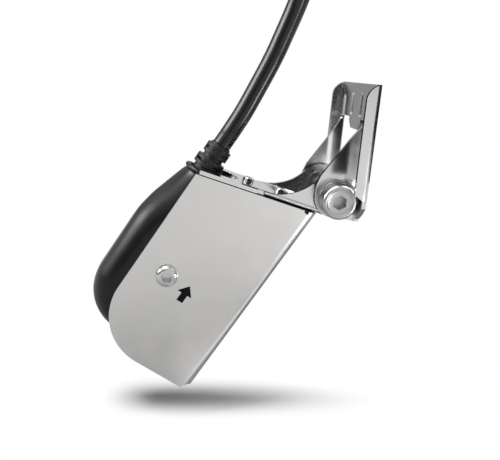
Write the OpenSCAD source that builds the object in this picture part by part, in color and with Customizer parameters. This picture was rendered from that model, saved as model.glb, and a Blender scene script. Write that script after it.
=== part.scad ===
// Sonar transducer: a raked, metal-guarded pod on a kick-up arm, hung from a slotted transom bracket.
// Millimetres. X = 0 is the transom, +X points into it, +Z is up, Y = 0 is the mid-plane.
// Origin: the bracket's back face, at the middle of its row of slots.

/* [Transom bracket] */
// Width over the side flanges
bracket_width = 64; // [60:0.5:76]
// Sheet thickness of the bracket
bracket_sheet = 2; // [1.5:0.1:3]
// Height of the plate's top edge above the slot row
plate_top = 9.8; // [8.5:0.1:14]
// Height of the plate's lower edge beside the tongue
plate_low = -6.6; // [-7.2:0.1:-6.2]
// Depth of the side flanges from the transom
flange_depth = 6.6; // [5:0.1:8]
// Radius of the flanges' upper corner
flange_corner_r = 7; // [3:0.5:9]
// Outer radius of the flange folds
flange_fold_r = 3; // [2.4:0.1:4]
// Drop of the flanges' lower end at the fold
flange_drop = 42; // [38:0.5:46]
// Half width of the tongue's lower edge
tongue_half = 6; // [4:0.5:8]
// Drop of the tongue's lower edge
tongue_drop = 11.8; // [9:0.1:14]
// Width of the four fixing slots
slot_width = 4.6; // [4.2:0.1:5.4]
// Length of the fixing slots, end to end
slot_length = 12; // [8:0.5:14]
// Mid-plane to each inner slot
slot_inner_y = 7.6; // [5:0.1:11]
// Mid-plane to each outer slot
slot_outer_y = 22.4; // [18:0.1:24]
// How much lower the outer slots are
slot_outer_drop = 1.9; // [0:0.1:3]

/* [Pivot] */
// Transom to the pivot axis
pivot_set = 11.9; // [11.6:0.1:14]
// Slot row to the pivot axis
pivot_drop = 43; // [40:0.5:46]
// Radius of the lugs' round ends
lug_end_r = 9.3; // [8.2:0.1:10.5]
// Thickness of the friction washers between the ears and the lugs
friction_thick = 1; // [0.5:0.1:2]
// Radius of the sweep from lug to foot
lug_sweep_r = 8.6; // [7:0.1:9]
// Radius of the pivot bolt's shank
bolt_r = 5; // [4:0.1:5.5]
// Radius of the bolt's head
head_r = 8; // [7:0.1:9]
// Height of the bolt's head
head_high = 9; // [7:0.5:11]
// Socket of the bolt's head, across flats
head_socket = 6; // [5:0.5:8]
// Outer radius of the sleeve between the ears
sleeve_r = 7.6; // [6.5:0.1:8.5]
// Running clearance of the sleeve on the bolt
run_clear = 0.05; // [0.02:0.01:0.1]
// Thickness of the bolt's flat washers
washer_thick = 1.2; // [0.8:0.1:1.8]
// Axial clearance beside each friction washer
side_clear = 0.2; // [0.1:0.05:0.4]

/* [Pivot arm] */
// Tilt of the arm in the stored pose
arm_tilt = 15.2; // [0:0.1:30]
// Width of the arm and of the guard
arm_width = 30.8; // [30:0.1:31.2]
// Sheet thickness of the arm
arm_sheet = 1.8; // [1.4:0.1:2.2]
// Pivot axis to the web's underside
web_drop = 10; // [9.4:0.1:10.4]
// Pivot axis to the web's aft end
web_aft = 63; // [58:0.5:66]
// Pivot axis to the web's forward end
web_front = 5; // [3:0.1:5.6]
// Pivot axis to the start of the ears' curve
ear_start = 32; // [29:0.5:34]
// Radius of the ears' concave curve
ear_curve_r = 25; // [22:0.5:27]
// Half width of the open U-slot
yoke_half = 9.2; // [8.9:0.1:10.5]
// Pivot axis to the closed end of the U-slot
yoke_end = 43.5; // [42.5:0.1:46]
// Pivot axis to the first web screw
web_screw_a = 38.5; // [37:0.1:39]
// Pivot axis to the second web screw
web_screw_b = 21.5; // [18:0.1:26]

/* [Guard shield] */
// Rake of the guard from square to the web
rake_angle = 15.5; // [12:0.1:18]
// Sheet thickness of the guard
guard_sheet = 1.6; // [1.2:0.1:2]
// Fore and aft depth of the cheeks
guard_depth = 58.2; // [54:0.1:62]
// Pivot axis to the guard's lower edge, along the rake
guard_low = 121; // [118:0.5:130]
// Outer radius of the leading folds
guard_fold_r = 4.5; // [3:0.1:6]
// Radius of the cheeks' lower aft corner
guard_corner_r = 28; // [20:0.5:32]
// Gap between the web and the cheeks' top edge
guard_gap = 0.5; // [0.3:0.1:1]
// Cheek screw, ahead of the cheek's aft edge
cheek_screw_in = 15.7; // [13:0.1:18]
// Cheek screw, below the pivot along the rake
cheek_screw_drop = 75.2; // [70:0.1:84]
// Radius of the cheek screw's button head
button_r = 5.25; // [4.5:0.05:6]

/* [Pod] */
// How far the pod stands out aft of the cheeks
pod_reach = 12.2; // [11.2:0.1:14]
// Radius of the pod's rounded shoulders in side view
pod_shoulder_r = 24; // [22:0.5:26]
// Radius of the pod's long edges
pod_edge_r = 11; // [9:0.1:11.5]
// Pod's upper shoulder centre, below the pivot along the rake
pod_high = 59; // [57:0.5:63]
// Pod's lower shoulder centre, below the pivot along the rake
pod_low = 91.5; // [89:0.5:95]
// Neck radius at its top
neck_r = 8.5; // [8.2:0.1:8.8]
// Neck radius at its root
neck_root_r = 15.6; // [13:0.1:16]
// Neck top, below the pivot along the rake
neck_top = 26; // [25:0.1:27]
// Lead axis, ahead of the cheek's aft edge
lead_in = 3.85; // [3:0.05:5]

/* [Cable] */
// Diameter of the cable
cable_d = 9; // [8:0.1:9.6]
// Mean diameter of the stowed coil
coil_mean = 112; // [106:1:120]
// Thickness of the stowed coil's bundle
coil_thick = 36; // [30:1:40]
// Height of the stowed coil's centre above the slot row
coil_up = 150; // [144:1:156]

/* [Hidden] */
$fn = 48;
e = 0.01;

// Bracket
half = bracket_width / 2;
arm_half = arm_width / 2;
lug_inner = arm_half + friction_thick + side_clear;
lug_half = lug_inner + bracket_sheet;
foot_land = 1;
lug_bend = min(lug_sweep_r, half - flange_fold_r - lug_half - foot_land);
sweep_y = lug_half + lug_bend;
sweep_x = bracket_sheet + lug_bend;
lug_front = pivot_set + lug_end_r;
lug_low = pivot_drop + lug_end_r;
foot_chamfer = 9;
slot_r = slot_width / 2;

// Pivot stack, outward from the mid-plane
head_seat = lug_half + washer_thick;
hole_clear = 0.2;
sleeve_clear = 0.3;
nut_high = 8;
nut_flats = 2 * head_r;
seat_r = nut_flats / 2 / cos(30) + 0.3;
ear_centre = [-ear_start, ear_curve_r - web_drop + arm_sheet];
ear_r = norm(ear_centre) - ear_curve_r;
ear_touch = ear_centre * (ear_r / norm(ear_centre));
web_top = -web_drop + arm_sheet;
notch_long = 3.4;
notch_deep = 2.2;

// Guard, in the raked frame: p forward, q up
guard_front = -1;
guard_aft = guard_front - guard_depth;
cheek_inner = arm_half - guard_sheet;
function q_at(p, w) = (w + p * sin(rake_angle)) / cos(rake_angle);
guard_top_w = -web_drop - guard_gap;
cheek_screw_p = guard_aft + cheek_screw_in;
front_trim = 3;

// Pod, in the raked frame
pod_aft = guard_aft - pod_reach;
pod_mid = pod_aft + pod_shoulder_r;
pod_gap = 0.6;
pod_front = guard_front - guard_sheet - pod_gap;
pod_flat = cheek_inner - pod_edge_r;
lead_p = guard_aft + lead_in;

// Strain relief on the neck; a collar is its rise above the neck, radius and height
relief_plug = 8;
relief_plug_r = 6;
relief_core_r = cable_d / 2 + 0.6;
relief_top = -neck_top + 14.8;
low_collar = [2.3, relief_core_r + 2.1, 4.5];
high_collar = [8.8, relief_core_r + 1.2, 4.9];

// Inside the pod
well_aft = -36;
well_front = -8;
well_half = 10;
well_top = -32;
window_half = 11.4;
window_lip = 1.6;
window_deep = 7;
window_top = -(pod_low + pod_shoulder_r - window_deep);
well_gap = 1;
piezo_count = 3;
piezo_split = 0.7;
piezo_pitch = (well_front - well_aft - 2 * well_gap + piezo_split) / piezo_count;
piezo_high = 6;
backing_high = 12;
board_thick = 1.6;
board_low = window_top + piezo_high + backing_high;
board_high = 42;
chip_wide = 12;
chip_thick = 1.6;
chip_in = 7;
chip_up = 8;
amp_wide = 8;
amp_in = 9;
amp_up = 26;
coil_can_wide = 4;
coil_can_thick = 2.4;
coil_can_high = 6;
coil_can_in = 20;
coil_can_up = 14;
lead_r = 3;
lead_cross = -60;

// Screws
pan_r = 2.8;
pan_high = 2.2;
pan_shank = 1.5;
arm_insert_r = 2.6;
arm_insert_long = 8;
button_high = 3.3;
button_shank = 3;
guard_insert_r = 4.2;
guard_insert_long = 8;

// Cable route: lower end on the strain relief, upper end in the coil
function from_rake(p, q) = [
    -pivot_set + p * cos(arm_tilt + rake_angle) + q * sin(arm_tilt + rake_angle),
    0,
    -pivot_drop - p * sin(arm_tilt + rake_angle) + q * cos(arm_tilt + rake_angle)
];
tie_thick = 1.2;
tie_wide = 7;
coil_x = -coil_thick / 2 - tie_thick - 0.3;
coil_r = coil_mean / 2;
route = [
    from_rake(lead_p, relief_top + 0.2),
    from_rake(lead_p, relief_top + 4.5),
    from_rake(lead_p, relief_top + 9),
    [-55.6, -0.6, -7.4],
    [-49.9, -1.4, 4.9],
    [-45.2, -2.4, 15.6],
    [-41.4, -3.6, 25.7],
    [-35.6, -7.4, 44],
    [-33.6, -13.5, 58],
    [-33, -23.5, 72],
    [-33, -37, 87.5],
    [-33, -51, 103]
];
plug_root = [-48, -43, coil_up + 16];
tail_route = [
    [-33, 33.5, coil_up - 26],
    [-34.5, 20, coil_up - 37.5],
    [-38.5, 3, coil_up - 42.5],
    [-43, -14.5, coil_up - 40],
    [-46.7, -29.5, coil_up - 30.5],
    [-48, -39.4, coil_up - 16],
    plug_root - [0, 0, 18],
    plug_root - [0, 0, 9],
    plug_root
];
boot_long = 12;
shell_r = 8.6;
shell_long = 10;
ring_r = 10;
ring_long = 14;
ring_floor = 3;

function cr(a, b, c, d, t) = 0.5 * ((2 * b) + (c - a) * t + (2 * a - 5 * b + 4 * c - d) * t * t
    + (3 * b - a - 3 * c + d) * t * t * t);
function smooth(pts, n) = let (m = len(pts) - 1) concat(
    [for (i = [0 : m - 1]) for (k = [0 : n - 1])
        cr(pts[max(i - 1, 0)], pts[i], pts[i + 1], pts[min(i + 2, m)], k / n)],
    [pts[m]]
);
function unit(v) = v / norm(v);
function tangent(pts, i) = unit(pts[min(i + 1, len(pts) - 1)] - pts[max(i - 1, 0)]);

// Round tube along a smoothed route
module tube(pts, r, sides) {
    line = smooth(pts, 2);
    n = len(line);
    rings = [for (i = [0 : n - 1])
        let (t = tangent(line, i), a = unit(cross(t, [1, 0, 0])), b = cross(t, a))
        for (k = [0 : sides - 1])
            line[i] + r * (cos(360 * k / sides) * a + sin(360 * k / sides) * b)];
    walls = [for (i = [0 : n - 2]) for (k = [0 : sides - 1])
        [i * sides + k, i * sides + (k + 1) % sides,
            (i + 1) * sides + (k + 1) % sides, (i + 1) * sides + k]];
    low_end = [for (k = [sides - 1 : -1 : 0]) k];
    high_end = [for (k = [0 : sides - 1]) (n - 1) * sides + k];
    polyhedron(rings, concat([low_end], walls, [high_end]));
}

// Frames of the moving half
module swing() {
    translate([-pivot_set, 0, -pivot_drop]) rotate([0, arm_tilt, 0]) children();
}

module raked() {
    swing() rotate([0, rake_angle, 0]) children();
}

module at_pivot() {
    translate([-pivot_set, 0, -pivot_drop]) children();
}

// Side outline (x, z) given thickness along y, centred
module across(wide) {
    rotate([90, 0, 0]) linear_extrude(height = wide, center = true) children();
}

// Cylinder along y between two places
module rod(r, y0, y1) {
    translate([0, y0, 0]) rotate([-90, 0, 0]) cylinder(r = r, h = y1 - y0);
}

module both_sides() {
    children();
    mirror([0, 1, 0]) children();
}

module hexagon(flats) {
    circle(d = flats / cos(30), $fn = 6);
}

// Bracket

module slot_cut(y, z) {
    translate([-bracket_sheet - 1, y, z]) rotate([0, 90, 0]) {
        translate([-(slot_length / 2 - slot_r), 0, 0]) cylinder(r = slot_r, h = bracket_sheet + 2);
        translate([slot_length / 2 - slot_r, 0, 0]) cylinder(r = slot_r, h = bracket_sheet + 2);
        translate([-(slot_length / 2 - slot_r), -slot_r, 0])
            cube([slot_length - slot_width, slot_width, bracket_sheet + 2]);
    }
}

module plate_outline() {
    polygon([
        [-half + flange_fold_r, plate_top],
        [half - flange_fold_r, plate_top],
        [half - flange_fold_r, plate_low],
        [tongue_half + 3.8, plate_low],
        [tongue_half + 3.8, -tongue_drop + 3.5],
        [tongue_half, -tongue_drop],
        [-tongue_half, -tongue_drop],
        [-tongue_half - 3.8, -tongue_drop + 3.5],
        [-tongue_half - 3.8, plate_low],
        [-half + flange_fold_r, plate_low]
    ]);
}

// Flange, fold and foot of one side, seen from above
module edge_section() {
    translate([-flange_depth, -half]) square([flange_depth - flange_fold_r, bracket_sheet]);
    intersection() {
        translate([-flange_fold_r, -half + flange_fold_r]) difference() {
            circle(r = flange_fold_r);
            circle(r = flange_fold_r - bracket_sheet);
        }
        translate([-flange_fold_r, -half]) square(flange_fold_r);
    }
}

module foot_section() {
    polygon([
        [-bracket_sheet, -half + flange_fold_r],
        [0, -half + flange_fold_r],
        [0, -sweep_y],
        [-bracket_sheet, -sweep_y]
    ]);
}

module lug_section() {
    intersection() {
        translate([-sweep_x, -sweep_y]) difference() {
            circle(r = lug_bend + bracket_sheet);
            circle(r = lug_bend);
        }
        translate([-sweep_x, -sweep_y]) square(lug_bend + bracket_sheet);
    }
    polygon([
        [-lug_front - 1, -lug_half],
        [-sweep_x, -lug_half],
        [-sweep_x, -lug_inner],
        [-lug_front - 1, -lug_inner]
    ]);
}

// Cup pressed into the sweep, so that the bolt clamps on a flat seat
module seat_cup() {
    intersection() {
        at_pivot() rod(seat_r + bracket_sheet, -half, -lug_inner);
        translate([0, 0, -lug_low - 1]) linear_extrude(height = lug_low + 1) difference() {
            translate([-sweep_x, -sweep_y]) square([sweep_x, sweep_y - lug_inner]);
            translate([-sweep_x, -sweep_y]) circle(r = lug_bend);
        }
    }
}

module flange_outline() {
    difference() {
        polygon([
            [0, plate_top],
            [-flange_depth, plate_top],
            [-flange_depth, -flange_drop + 3.6],
            [-bracket_sheet + 0.8, -flange_drop],
            [0, -flange_drop]
        ]);
        difference() {
            translate([-flange_depth - 1, plate_top - flange_corner_r])
                square([flange_corner_r + 1, flange_corner_r + 1]);
            translate([-flange_depth + flange_corner_r, plate_top - flange_corner_r])
                circle(r = flange_corner_r);
        }
    }
}

module lug_outline() {
    translate([-pivot_set, -pivot_drop]) circle(r = lug_end_r);
    polygon([
        [0, plate_low - 0.6],
        [-3.4, plate_low - 1.8],
        [-lug_front + 1.7, -pivot_drop + 10.4],
        [-lug_front, -pivot_drop + 6],
        [-lug_front, -pivot_drop],
        [-pivot_set, -lug_low],
        [0, -lug_low]
    ]);
}

module foot_trim() {
    translate([-bracket_sheet - 1, 0, 0]) rotate([90, 0, 90]) linear_extrude(height = bracket_sheet + 2)
        polygon([
            [-half - 1, -flange_drop - 1],
            [-half + flange_fold_r - 2, -flange_drop - 1],
            [-half + foot_chamfer, -lug_low + 1],
            [-half + foot_chamfer, -lug_low - 1],
            [-half - 1, -lug_low - 1]
        ]);
}

module bracket_side() {
    intersection() {
        translate([0, 0, -flange_drop - 1])
            linear_extrude(height = flange_drop + plate_top + 1) edge_section();
        across(bracket_width + 2) flange_outline();
    }
    difference() {
        translate([0, 0, -lug_low]) linear_extrude(height = lug_low + plate_low) foot_section();
        foot_trim();
    }
    difference() {
        intersection() {
            union() {
                translate([0, 0, -lug_low - 1]) linear_extrude(height = lug_low + 1) lug_section();
                seat_cup();
            }
            across(bracket_width) lug_outline();
        }
        foot_trim();
        at_pivot() rod(bolt_r + hole_clear, -half, half);
        at_pivot() rod(seat_r, -half, -lug_half);
    }
}

module transom_bracket() {
    color("silver") {
        difference() {
            translate([-bracket_sheet, 0, 0]) rotate([90, 0, 90])
                linear_extrude(height = bracket_sheet) plate_outline();
            slot_cut(slot_inner_y, 0);
            slot_cut(-slot_inner_y, 0);
            slot_cut(slot_outer_y, -slot_outer_drop);
            slot_cut(-slot_outer_y, -slot_outer_drop);
        }
        both_sides() bracket_side();
    }
}

// Pivot

module pivot_bolt() {
    rim = 1.6;
    color("lightgray") at_pivot() difference() {
        union() {
            rod(bolt_r, -head_seat - e, head_seat + nut_high + 2);
            translate([0, -head_seat, 0]) rotate([90, 0, 0]) rotate_extrude() {
                square([head_r - rim, head_high]);
                square([head_r, head_high - rim]);
                translate([head_r - rim, head_high - rim]) circle(r = rim);
            }
        }
        translate([0, -head_seat - head_high + 5, 0]) rotate([90, 0, 0])
            linear_extrude(height = 6) hexagon(head_socket);
        translate([0, -head_seat - head_high + 0.6, 0]) rotate([90, 0, 0])
            cylinder(r1 = head_r - 2.6, r2 = head_r - 1.7, h = 0.7);
    }
}

module pivot_nut() {
    color("silver") at_pivot() difference() {
        union() {
            translate([0, head_seat, 0]) rotate([-90, 0, 0])
                linear_extrude(height = nut_high - 2.2) hexagon(nut_flats);
            rod(nut_flats / 2 - 0.6, head_seat, head_seat + nut_high);
        }
        rod(bolt_r, 0, head_seat + nut_high + 3);
    }
}

module bolt_washers() {
    color("gainsboro") at_pivot() both_sides() difference() {
        rod(head_r + 0.9, lug_half, head_seat);
        rod(bolt_r + hole_clear, 0, head_seat + 1);
    }
}

module friction_washers() {
    color("black") swing() both_sides() difference() {
        rod(ear_r - 1.6, arm_half, arm_half + friction_thick);
        rod(bolt_r + run_clear, 0, half);
    }
}

module pivot_sleeve() {
    inner = arm_half - arm_sheet - sleeve_clear;
    color("gray") swing() difference() {
        rod(sleeve_r, -inner, inner);
        rod(bolt_r + run_clear, -half, half);
    }
}

// Arm

module ear_outline() {
    circle(r = ear_r);
    difference() {
        polygon([
            [-ear_start, -web_drop],
            [web_front, -web_drop],
            [web_front, -sqrt(ear_r * ear_r - web_front * web_front)],
            [0, 0],
            ear_touch,
            [-ear_start, ear_touch[1]]
        ]);
        translate(ear_centre) circle(r = ear_curve_r);
    }
}

// Channel seen from its end: x across, y up from the web
module channel_section() {
    fold = arm_sheet + 1.2;
    difference() {
        union() {
            translate([-arm_half + fold, 0]) square([arm_width - 2 * fold, fold]);
            translate([-arm_half, fold]) square([arm_width, 2 * ear_r + web_drop]);
            translate([-arm_half + fold, fold]) circle(r = fold);
            translate([arm_half - fold, fold]) circle(r = fold);
        }
        translate([-arm_half + fold, arm_sheet]) square([arm_width - 2 * fold, fold]);
        translate([-arm_half + arm_sheet, fold]) square([arm_width - 2 * arm_sheet, 3 * ear_r + web_drop]);
        translate([-arm_half + fold, fold]) circle(r = fold - arm_sheet);
        translate([arm_half - fold, fold]) circle(r = fold - arm_sheet);
    }
}

module pivot_arm() {
    flat_end = -ear_start - notch_long + 0.6;
    color("silver") swing() difference() {
        union() {
            translate([-web_aft, -arm_half, -web_drop]) cube([web_aft + flat_end, arm_width, arm_sheet]);
            translate([flat_end, -arm_half + notch_deep, -web_drop])
                cube([-flat_end - ear_start + 0.6, arm_width - 2 * notch_deep, arm_sheet]);
            intersection() {
                translate([-ear_start + 0.6, 0, -web_drop]) rotate([90, 0, 90])
                    linear_extrude(height = ear_start + ear_r) channel_section();
                across(arm_width + 2) ear_outline();
            }
        }
        translate([-yoke_end - yoke_half, 0, -web_drop - 1]) cylinder(r = yoke_half, h = arm_sheet + 2);
        translate([-web_aft - 1, -yoke_half, -web_drop - 1])
            cube([web_aft + 1 - yoke_end - yoke_half, 2 * yoke_half, arm_sheet + 2]);
        for (u = [web_screw_a, web_screw_b])
            translate([-u, 0, -web_drop - 1])
                cylinder(r = pan_shank + hole_clear, h = arm_sheet + 2);
        rod(bolt_r + run_clear, -half, half);
    }
}

module pan_screw() {
    difference() {
        union() {
            translate([0, 0, -arm_sheet - arm_insert_long + 1])
                cylinder(r = pan_shank, h = arm_sheet + arm_insert_long);
            rotate_extrude() {
                square([pan_r - 0.9, pan_high]);
                square([pan_r, pan_high - 0.9]);
                translate([pan_r - 0.9, pan_high - 0.9]) circle(r = 0.9);
            }
        }
        translate([-1.6, -0.35, pan_high - 1.1]) cube([3.2, 0.7, 2]);
        translate([-0.35, -1.6, pan_high - 1.1]) cube([0.7, 3.2, 2]);
    }
}

module arm_screws() {
    color("lightgray") swing() for (u = [web_screw_a, web_screw_b]) translate([-u, 0, web_top]) pan_screw();
}

module arm_inserts() {
    color("goldenrod") swing() for (u = [web_screw_a, web_screw_b])
        translate([-u, 0, -web_drop - arm_insert_long]) difference() {
            cylinder(r = arm_insert_r, h = arm_insert_long);
            translate([0, 0, -1]) cylinder(r = pan_shank, h = arm_insert_long + 2);
        }
}

// Guard

// Folded U seen along the rake, at a sheet's depth inside its outer face
module guard_plan(aft, inset) {
    fold_p = guard_front - guard_fold_r;
    fold_y = arm_half - guard_fold_r;
    r = guard_fold_r - inset;
    translate([aft, -arm_half + inset]) square([fold_p - aft, arm_width - 2 * inset]);
    translate([fold_p - e, -fold_y]) square([r + e, 2 * fold_y]);
    for (s = [-1, 1]) translate([fold_p, s * fold_y]) circle(r = r);
}

module guard_section() {
    difference() {
        guard_plan(guard_aft, 0);
        guard_plan(guard_aft - 1, guard_sheet);
    }
}

module cheek_outline() {
    difference() {
        polygon([
            [guard_front + 1, q_at(guard_front + 1, guard_top_w)],
            [guard_aft, q_at(guard_aft, guard_top_w)],
            [guard_aft, -guard_low],
            [guard_front - guard_fold_r, -guard_low],
            [guard_front - guard_fold_r / 2, -guard_low + front_trim],
            [guard_front + 1, -guard_low + front_trim]
        ]);
        difference() {
            translate([guard_aft - 1, -guard_low - 1]) square(guard_corner_r + 1);
            translate([guard_aft + guard_corner_r, -guard_low + guard_corner_r]) circle(r = guard_corner_r);
        }
        translate([guard_front - guard_fold_r - 1.6, q_at(guard_front - guard_fold_r, guard_top_w) - 1.4])
            square([2.2, 5]);
    }
}

module guard_shield() {
    color("silver") raked() difference() {
        intersection() {
            translate([0, 0, -guard_low - 1]) linear_extrude(height = guard_low) guard_section();
            across(arm_width + 2) cheek_outline();
        }
        translate([cheek_screw_p, 0, -cheek_screw_drop]) rod(button_shank + hole_clear, -half, half);
    }
}

module button_screw() {
    rim = 2;
    difference() {
        union() {
            rod(button_shank, cheek_inner - guard_insert_long + 1, arm_half + 0.5);
            translate([0, arm_half, 0]) rotate([-90, 0, 0]) rotate_extrude() {
                square([button_r - rim, button_high]);
                square([button_r, button_high - rim]);
                intersection() {
                    translate([button_r - rim, button_high - rim]) circle(r = rim);
                    square([button_r, button_high]);
                }
            }
        }
        translate([0, arm_half + 0.8, 0]) rotate([-90, 0, 0]) linear_extrude(height = 4) hexagon(5);
    }
}

module guard_screws() {
    color("lightgray") raked() translate([cheek_screw_p, 0, -cheek_screw_drop]) both_sides() button_screw();
}

module guard_inserts() {
    color("goldenrod") raked() translate([cheek_screw_p, 0, -cheek_screw_drop]) both_sides() difference() {
        rod(guard_insert_r, cheek_inner - guard_insert_long, cheek_inner);
        rod(button_shank, 0, half);
    }
}

// Pod

// Half section across the pod: x out from the shoulder axis, y across
module pod_section(reach) {
    deep = pod_shoulder_r - pod_edge_r;
    translate([reach, -cheek_inner]) square([deep - reach, 2 * cheek_inner]);
    translate([deep, pod_flat]) circle(r = pod_edge_r);
    translate([deep, -pod_flat]) circle(r = pod_edge_r);
    translate([0, -pod_flat]) square([pod_shoulder_r, 2 * pod_flat]);
}

module pod_shoulder(q, turn) {
    translate([pod_mid, 0, q]) rotate([90, 0, 0]) rotate([0, 0, turn])
        rotate_extrude(angle = 90) pod_section(0);
}

module pod_body() {
    union() {
        pod_shoulder(-pod_high, 90);
        pod_shoulder(-pod_low, 180);
        translate([pod_mid, 0, -pod_low]) linear_extrude(height = pod_low - pod_high)
            rotate([0, 0, 180]) pod_section(0);
        translate([pod_aft + pod_edge_r, -pod_flat, -pod_low - 1])
            cube([pod_shoulder_r - pod_edge_r + 1, 2 * pod_flat, pod_low - pod_high + 2]);
        intersection() {
            union() {
                translate([pod_mid, 0, -pod_low]) rotate([0, 90, 0])
                    linear_extrude(height = pod_front - pod_mid) pod_section(0);
                across(2 * cheek_inner) polygon([
                    [pod_mid, -pod_low],
                    [pod_front, -pod_low],
                    [pod_front, q_at(pod_front, -web_drop)],
                    [pod_mid, q_at(pod_mid, -web_drop)]
                ]);
            }
            translate([0, 0, -guard_low - pod_shoulder_r])
                linear_extrude(height = guard_low + pod_shoulder_r) guard_plan(pod_mid - 1, guard_sheet);
        }
        intersection() {
            translate([lead_p, 0, -pod_high + 8])
                cylinder(r1 = neck_root_r, r2 = neck_r, h = pod_high - 8 - neck_top);
            across(2 * cheek_inner - 2) polygon([
                [pod_aft - 9, -pod_high],
                [pod_mid + 4, -pod_high],
                [pod_mid + 4, q_at(pod_mid + 4, -web_drop)],
                [lead_p + 1, q_at(lead_p + 1, -web_drop)],
                [pod_aft - 9, 0]
            ]);
        }
    }
}

module window_box() {
    translate([well_aft - window_lip, -window_half, window_top - 20])
        cube([well_front - well_aft + 2 * window_lip, 2 * window_half, 20]);
}

module well() {
    translate([well_aft, -well_half, window_top])
        cube([well_front - well_aft, 2 * well_half, well_top - window_top]);
}

module leads() {
    translate([lead_p, 0, lead_cross]) cylinder(r = lead_r, h = -neck_top - relief_plug - lead_cross);
    translate([lead_p, 0, lead_cross]) sphere(r = lead_r);
    translate([lead_p, 0, lead_cross]) rotate([0, 90, 0]) cylinder(r = lead_r, h = well_aft - lead_p);
}

module pod_housing() {
    color("dimgray") difference() {
        raked() difference() {
            pod_body();
            window_box();
            well();
            leads();
            translate([lead_p, 0, -neck_top - relief_plug])
                cylinder(r = relief_plug_r, h = relief_plug + 1);
            translate([cheek_screw_p, 0, -cheek_screw_drop]) both_sides()
                rod(guard_insert_r, cheek_inner - guard_insert_long, cheek_inner + 1);
        }
        swing() for (u = [web_screw_a, web_screw_b])
            translate([-u, 0, -web_drop - arm_insert_long])
                cylinder(r = arm_insert_r, h = arm_insert_long + 1);
    }
}

module acoustic_window() {
    color("black") raked() intersection() {
        pod_body();
        window_box();
    }
}

module piezo_bars() {
    for (k = [0 : piezo_count - 1])
        translate([well_aft + well_gap + k * piezo_pitch, -well_half + well_gap, window_top])
            cube([piezo_pitch - piezo_split, 2 * (well_half - well_gap), piezo_high]);
}

module piezo_elements() {
    color("wheat") raked() piezo_bars();
}

module backing_body() {
    translate([well_aft + well_gap, -well_half + well_gap, window_top + piezo_high])
        cube([well_front - well_aft - 2 * well_gap, 2 * (well_half - well_gap), backing_high]);
}

module backing_block() {
    color("peru") raked() backing_body();
}

module board_body() {
    translate([well_aft + 2, -board_thick / 2, board_low])
        cube([well_front - well_aft - 4, board_thick, board_high]);
}

module signal_board() {
    color("green") raked() board_body();
}

module chip_bodies() {
    translate([well_aft + chip_in, board_thick / 2, board_low + chip_up])
        cube([chip_wide, chip_thick, chip_wide]);
    translate([well_aft + amp_in, board_thick / 2, board_low + amp_up])
        cube([amp_wide, chip_thick, amp_wide]);
    translate([well_aft + coil_can_in, board_thick / 2, board_low + coil_can_up])
        cube([coil_can_wide, coil_can_thick, coil_can_high]);
}

module board_chips() {
    color("black") raked() chip_bodies();
}

module potting() {
    color("dimgray") raked() difference() {
        well();
        piezo_bars();
        backing_body();
        board_body();
        chip_bodies();
    }
}

module core_leads() {
    color("gray") raked() leads();
}

// Strain relief

// Collar with four slits round it and a bridge between each two
module collar(place) {
    r = place[1];
    high = place[2];
    thin = high * 0.36;
    translate([lead_p, 0, -neck_top + place[0]]) difference() {
        cylinder(r = r, h = high);
        for (a = [15 : 90 : 285]) rotate([0, 0, a])
            rotate_extrude(angle = 60) translate([relief_core_r + 0.2, thin])
                square([r, high - 2 * thin]);
    }
}

module strain_relief() {
    color("black") raked() {
        translate([lead_p, 0, -neck_top - relief_plug])
            cylinder(r = relief_plug_r, h = relief_plug + low_collar[0] + 0.1);
        translate([lead_p, 0, -neck_top]) cylinder(r = relief_core_r, h = relief_top + neck_top);
        collar(low_collar);
        collar(high_collar);
    }
}

// Cable

module cable() {
    color("black") tube(route, cable_d / 2, 12);
}

module cable_coil() {
    soft = 8;
    flat = coil_thick / 2 - soft;
    color("black") translate([coil_x, 0, coil_up]) rotate([0, 90, 0])
        rotate_extrude() translate([coil_r, 0]) {
            square([2 * flat, coil_thick], center = true);
            square([coil_thick, 2 * flat], center = true);
            for (i = [-1, 1], j = [-1, 1]) translate([i * flat, j * flat]) circle(r = soft);
        }
}

module coil_ties() {
    out = coil_thick + 2 * tie_thick;
    color("dimgray") translate([coil_x, 0, coil_up]) for (a = [0, 120, 240]) rotate([a, 0, 0])
        translate([0, 0, coil_r]) difference() {
            cube([out, tie_wide, out], center = true);
            cube([coil_thick, tie_wide + 1, coil_thick], center = true);
        }
}

module cable_tail() {
    color("black") tube(tail_route, cable_d / 2, 12);
}

module plug_at(rise) {
    translate(plug_root + [0, 0, rise]) children();
}

module plug_boot() {
    color("black") plug_at(0) cylinder(r1 = cable_d / 2 + 0.9, r2 = shell_r - 1, h = boot_long);
}

module plug_shell() {
    color("dimgray") plug_at(boot_long) cylinder(r = shell_r, h = shell_long);
}

module plug_ring() {
    color("gray") plug_at(boot_long + shell_long) difference() {
        cylinder(r = ring_r, h = ring_long);
        translate([0, 0, ring_floor]) cylinder(r = ring_r - 2, h = ring_long);
        for (a = [0 : 30 : 330]) rotate([0, 0, a])
            translate([ring_r + 0.4, 0, -1]) cylinder(r = 1, h = ring_long + 2);
    }
}

module plug_insert() {
    color("black") plug_at(boot_long + shell_long + ring_floor) {
        cylinder(r = ring_r - 3.6, h = 3);
        for (a = [0 : 45 : 315]) rotate([0, 0, a])
            translate([4.2, 0, 2.5]) cylinder(r = 0.5, h = 7.5);
    }
}

transom_bracket();
pivot_bolt();
pivot_nut();
bolt_washers();
friction_washers();
pivot_sleeve();
pivot_arm();
arm_screws();
arm_inserts();
guard_shield();
guard_screws();
guard_inserts();
pod_housing();
acoustic_window();
piezo_elements();
backing_block();
signal_board();
board_chips();
potting();
core_leads();
strain_relief();
cable();
cable_coil();
coil_ties();
cable_tail();
plug_boot();
plug_shell();
plug_ring();
plug_insert();
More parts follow.
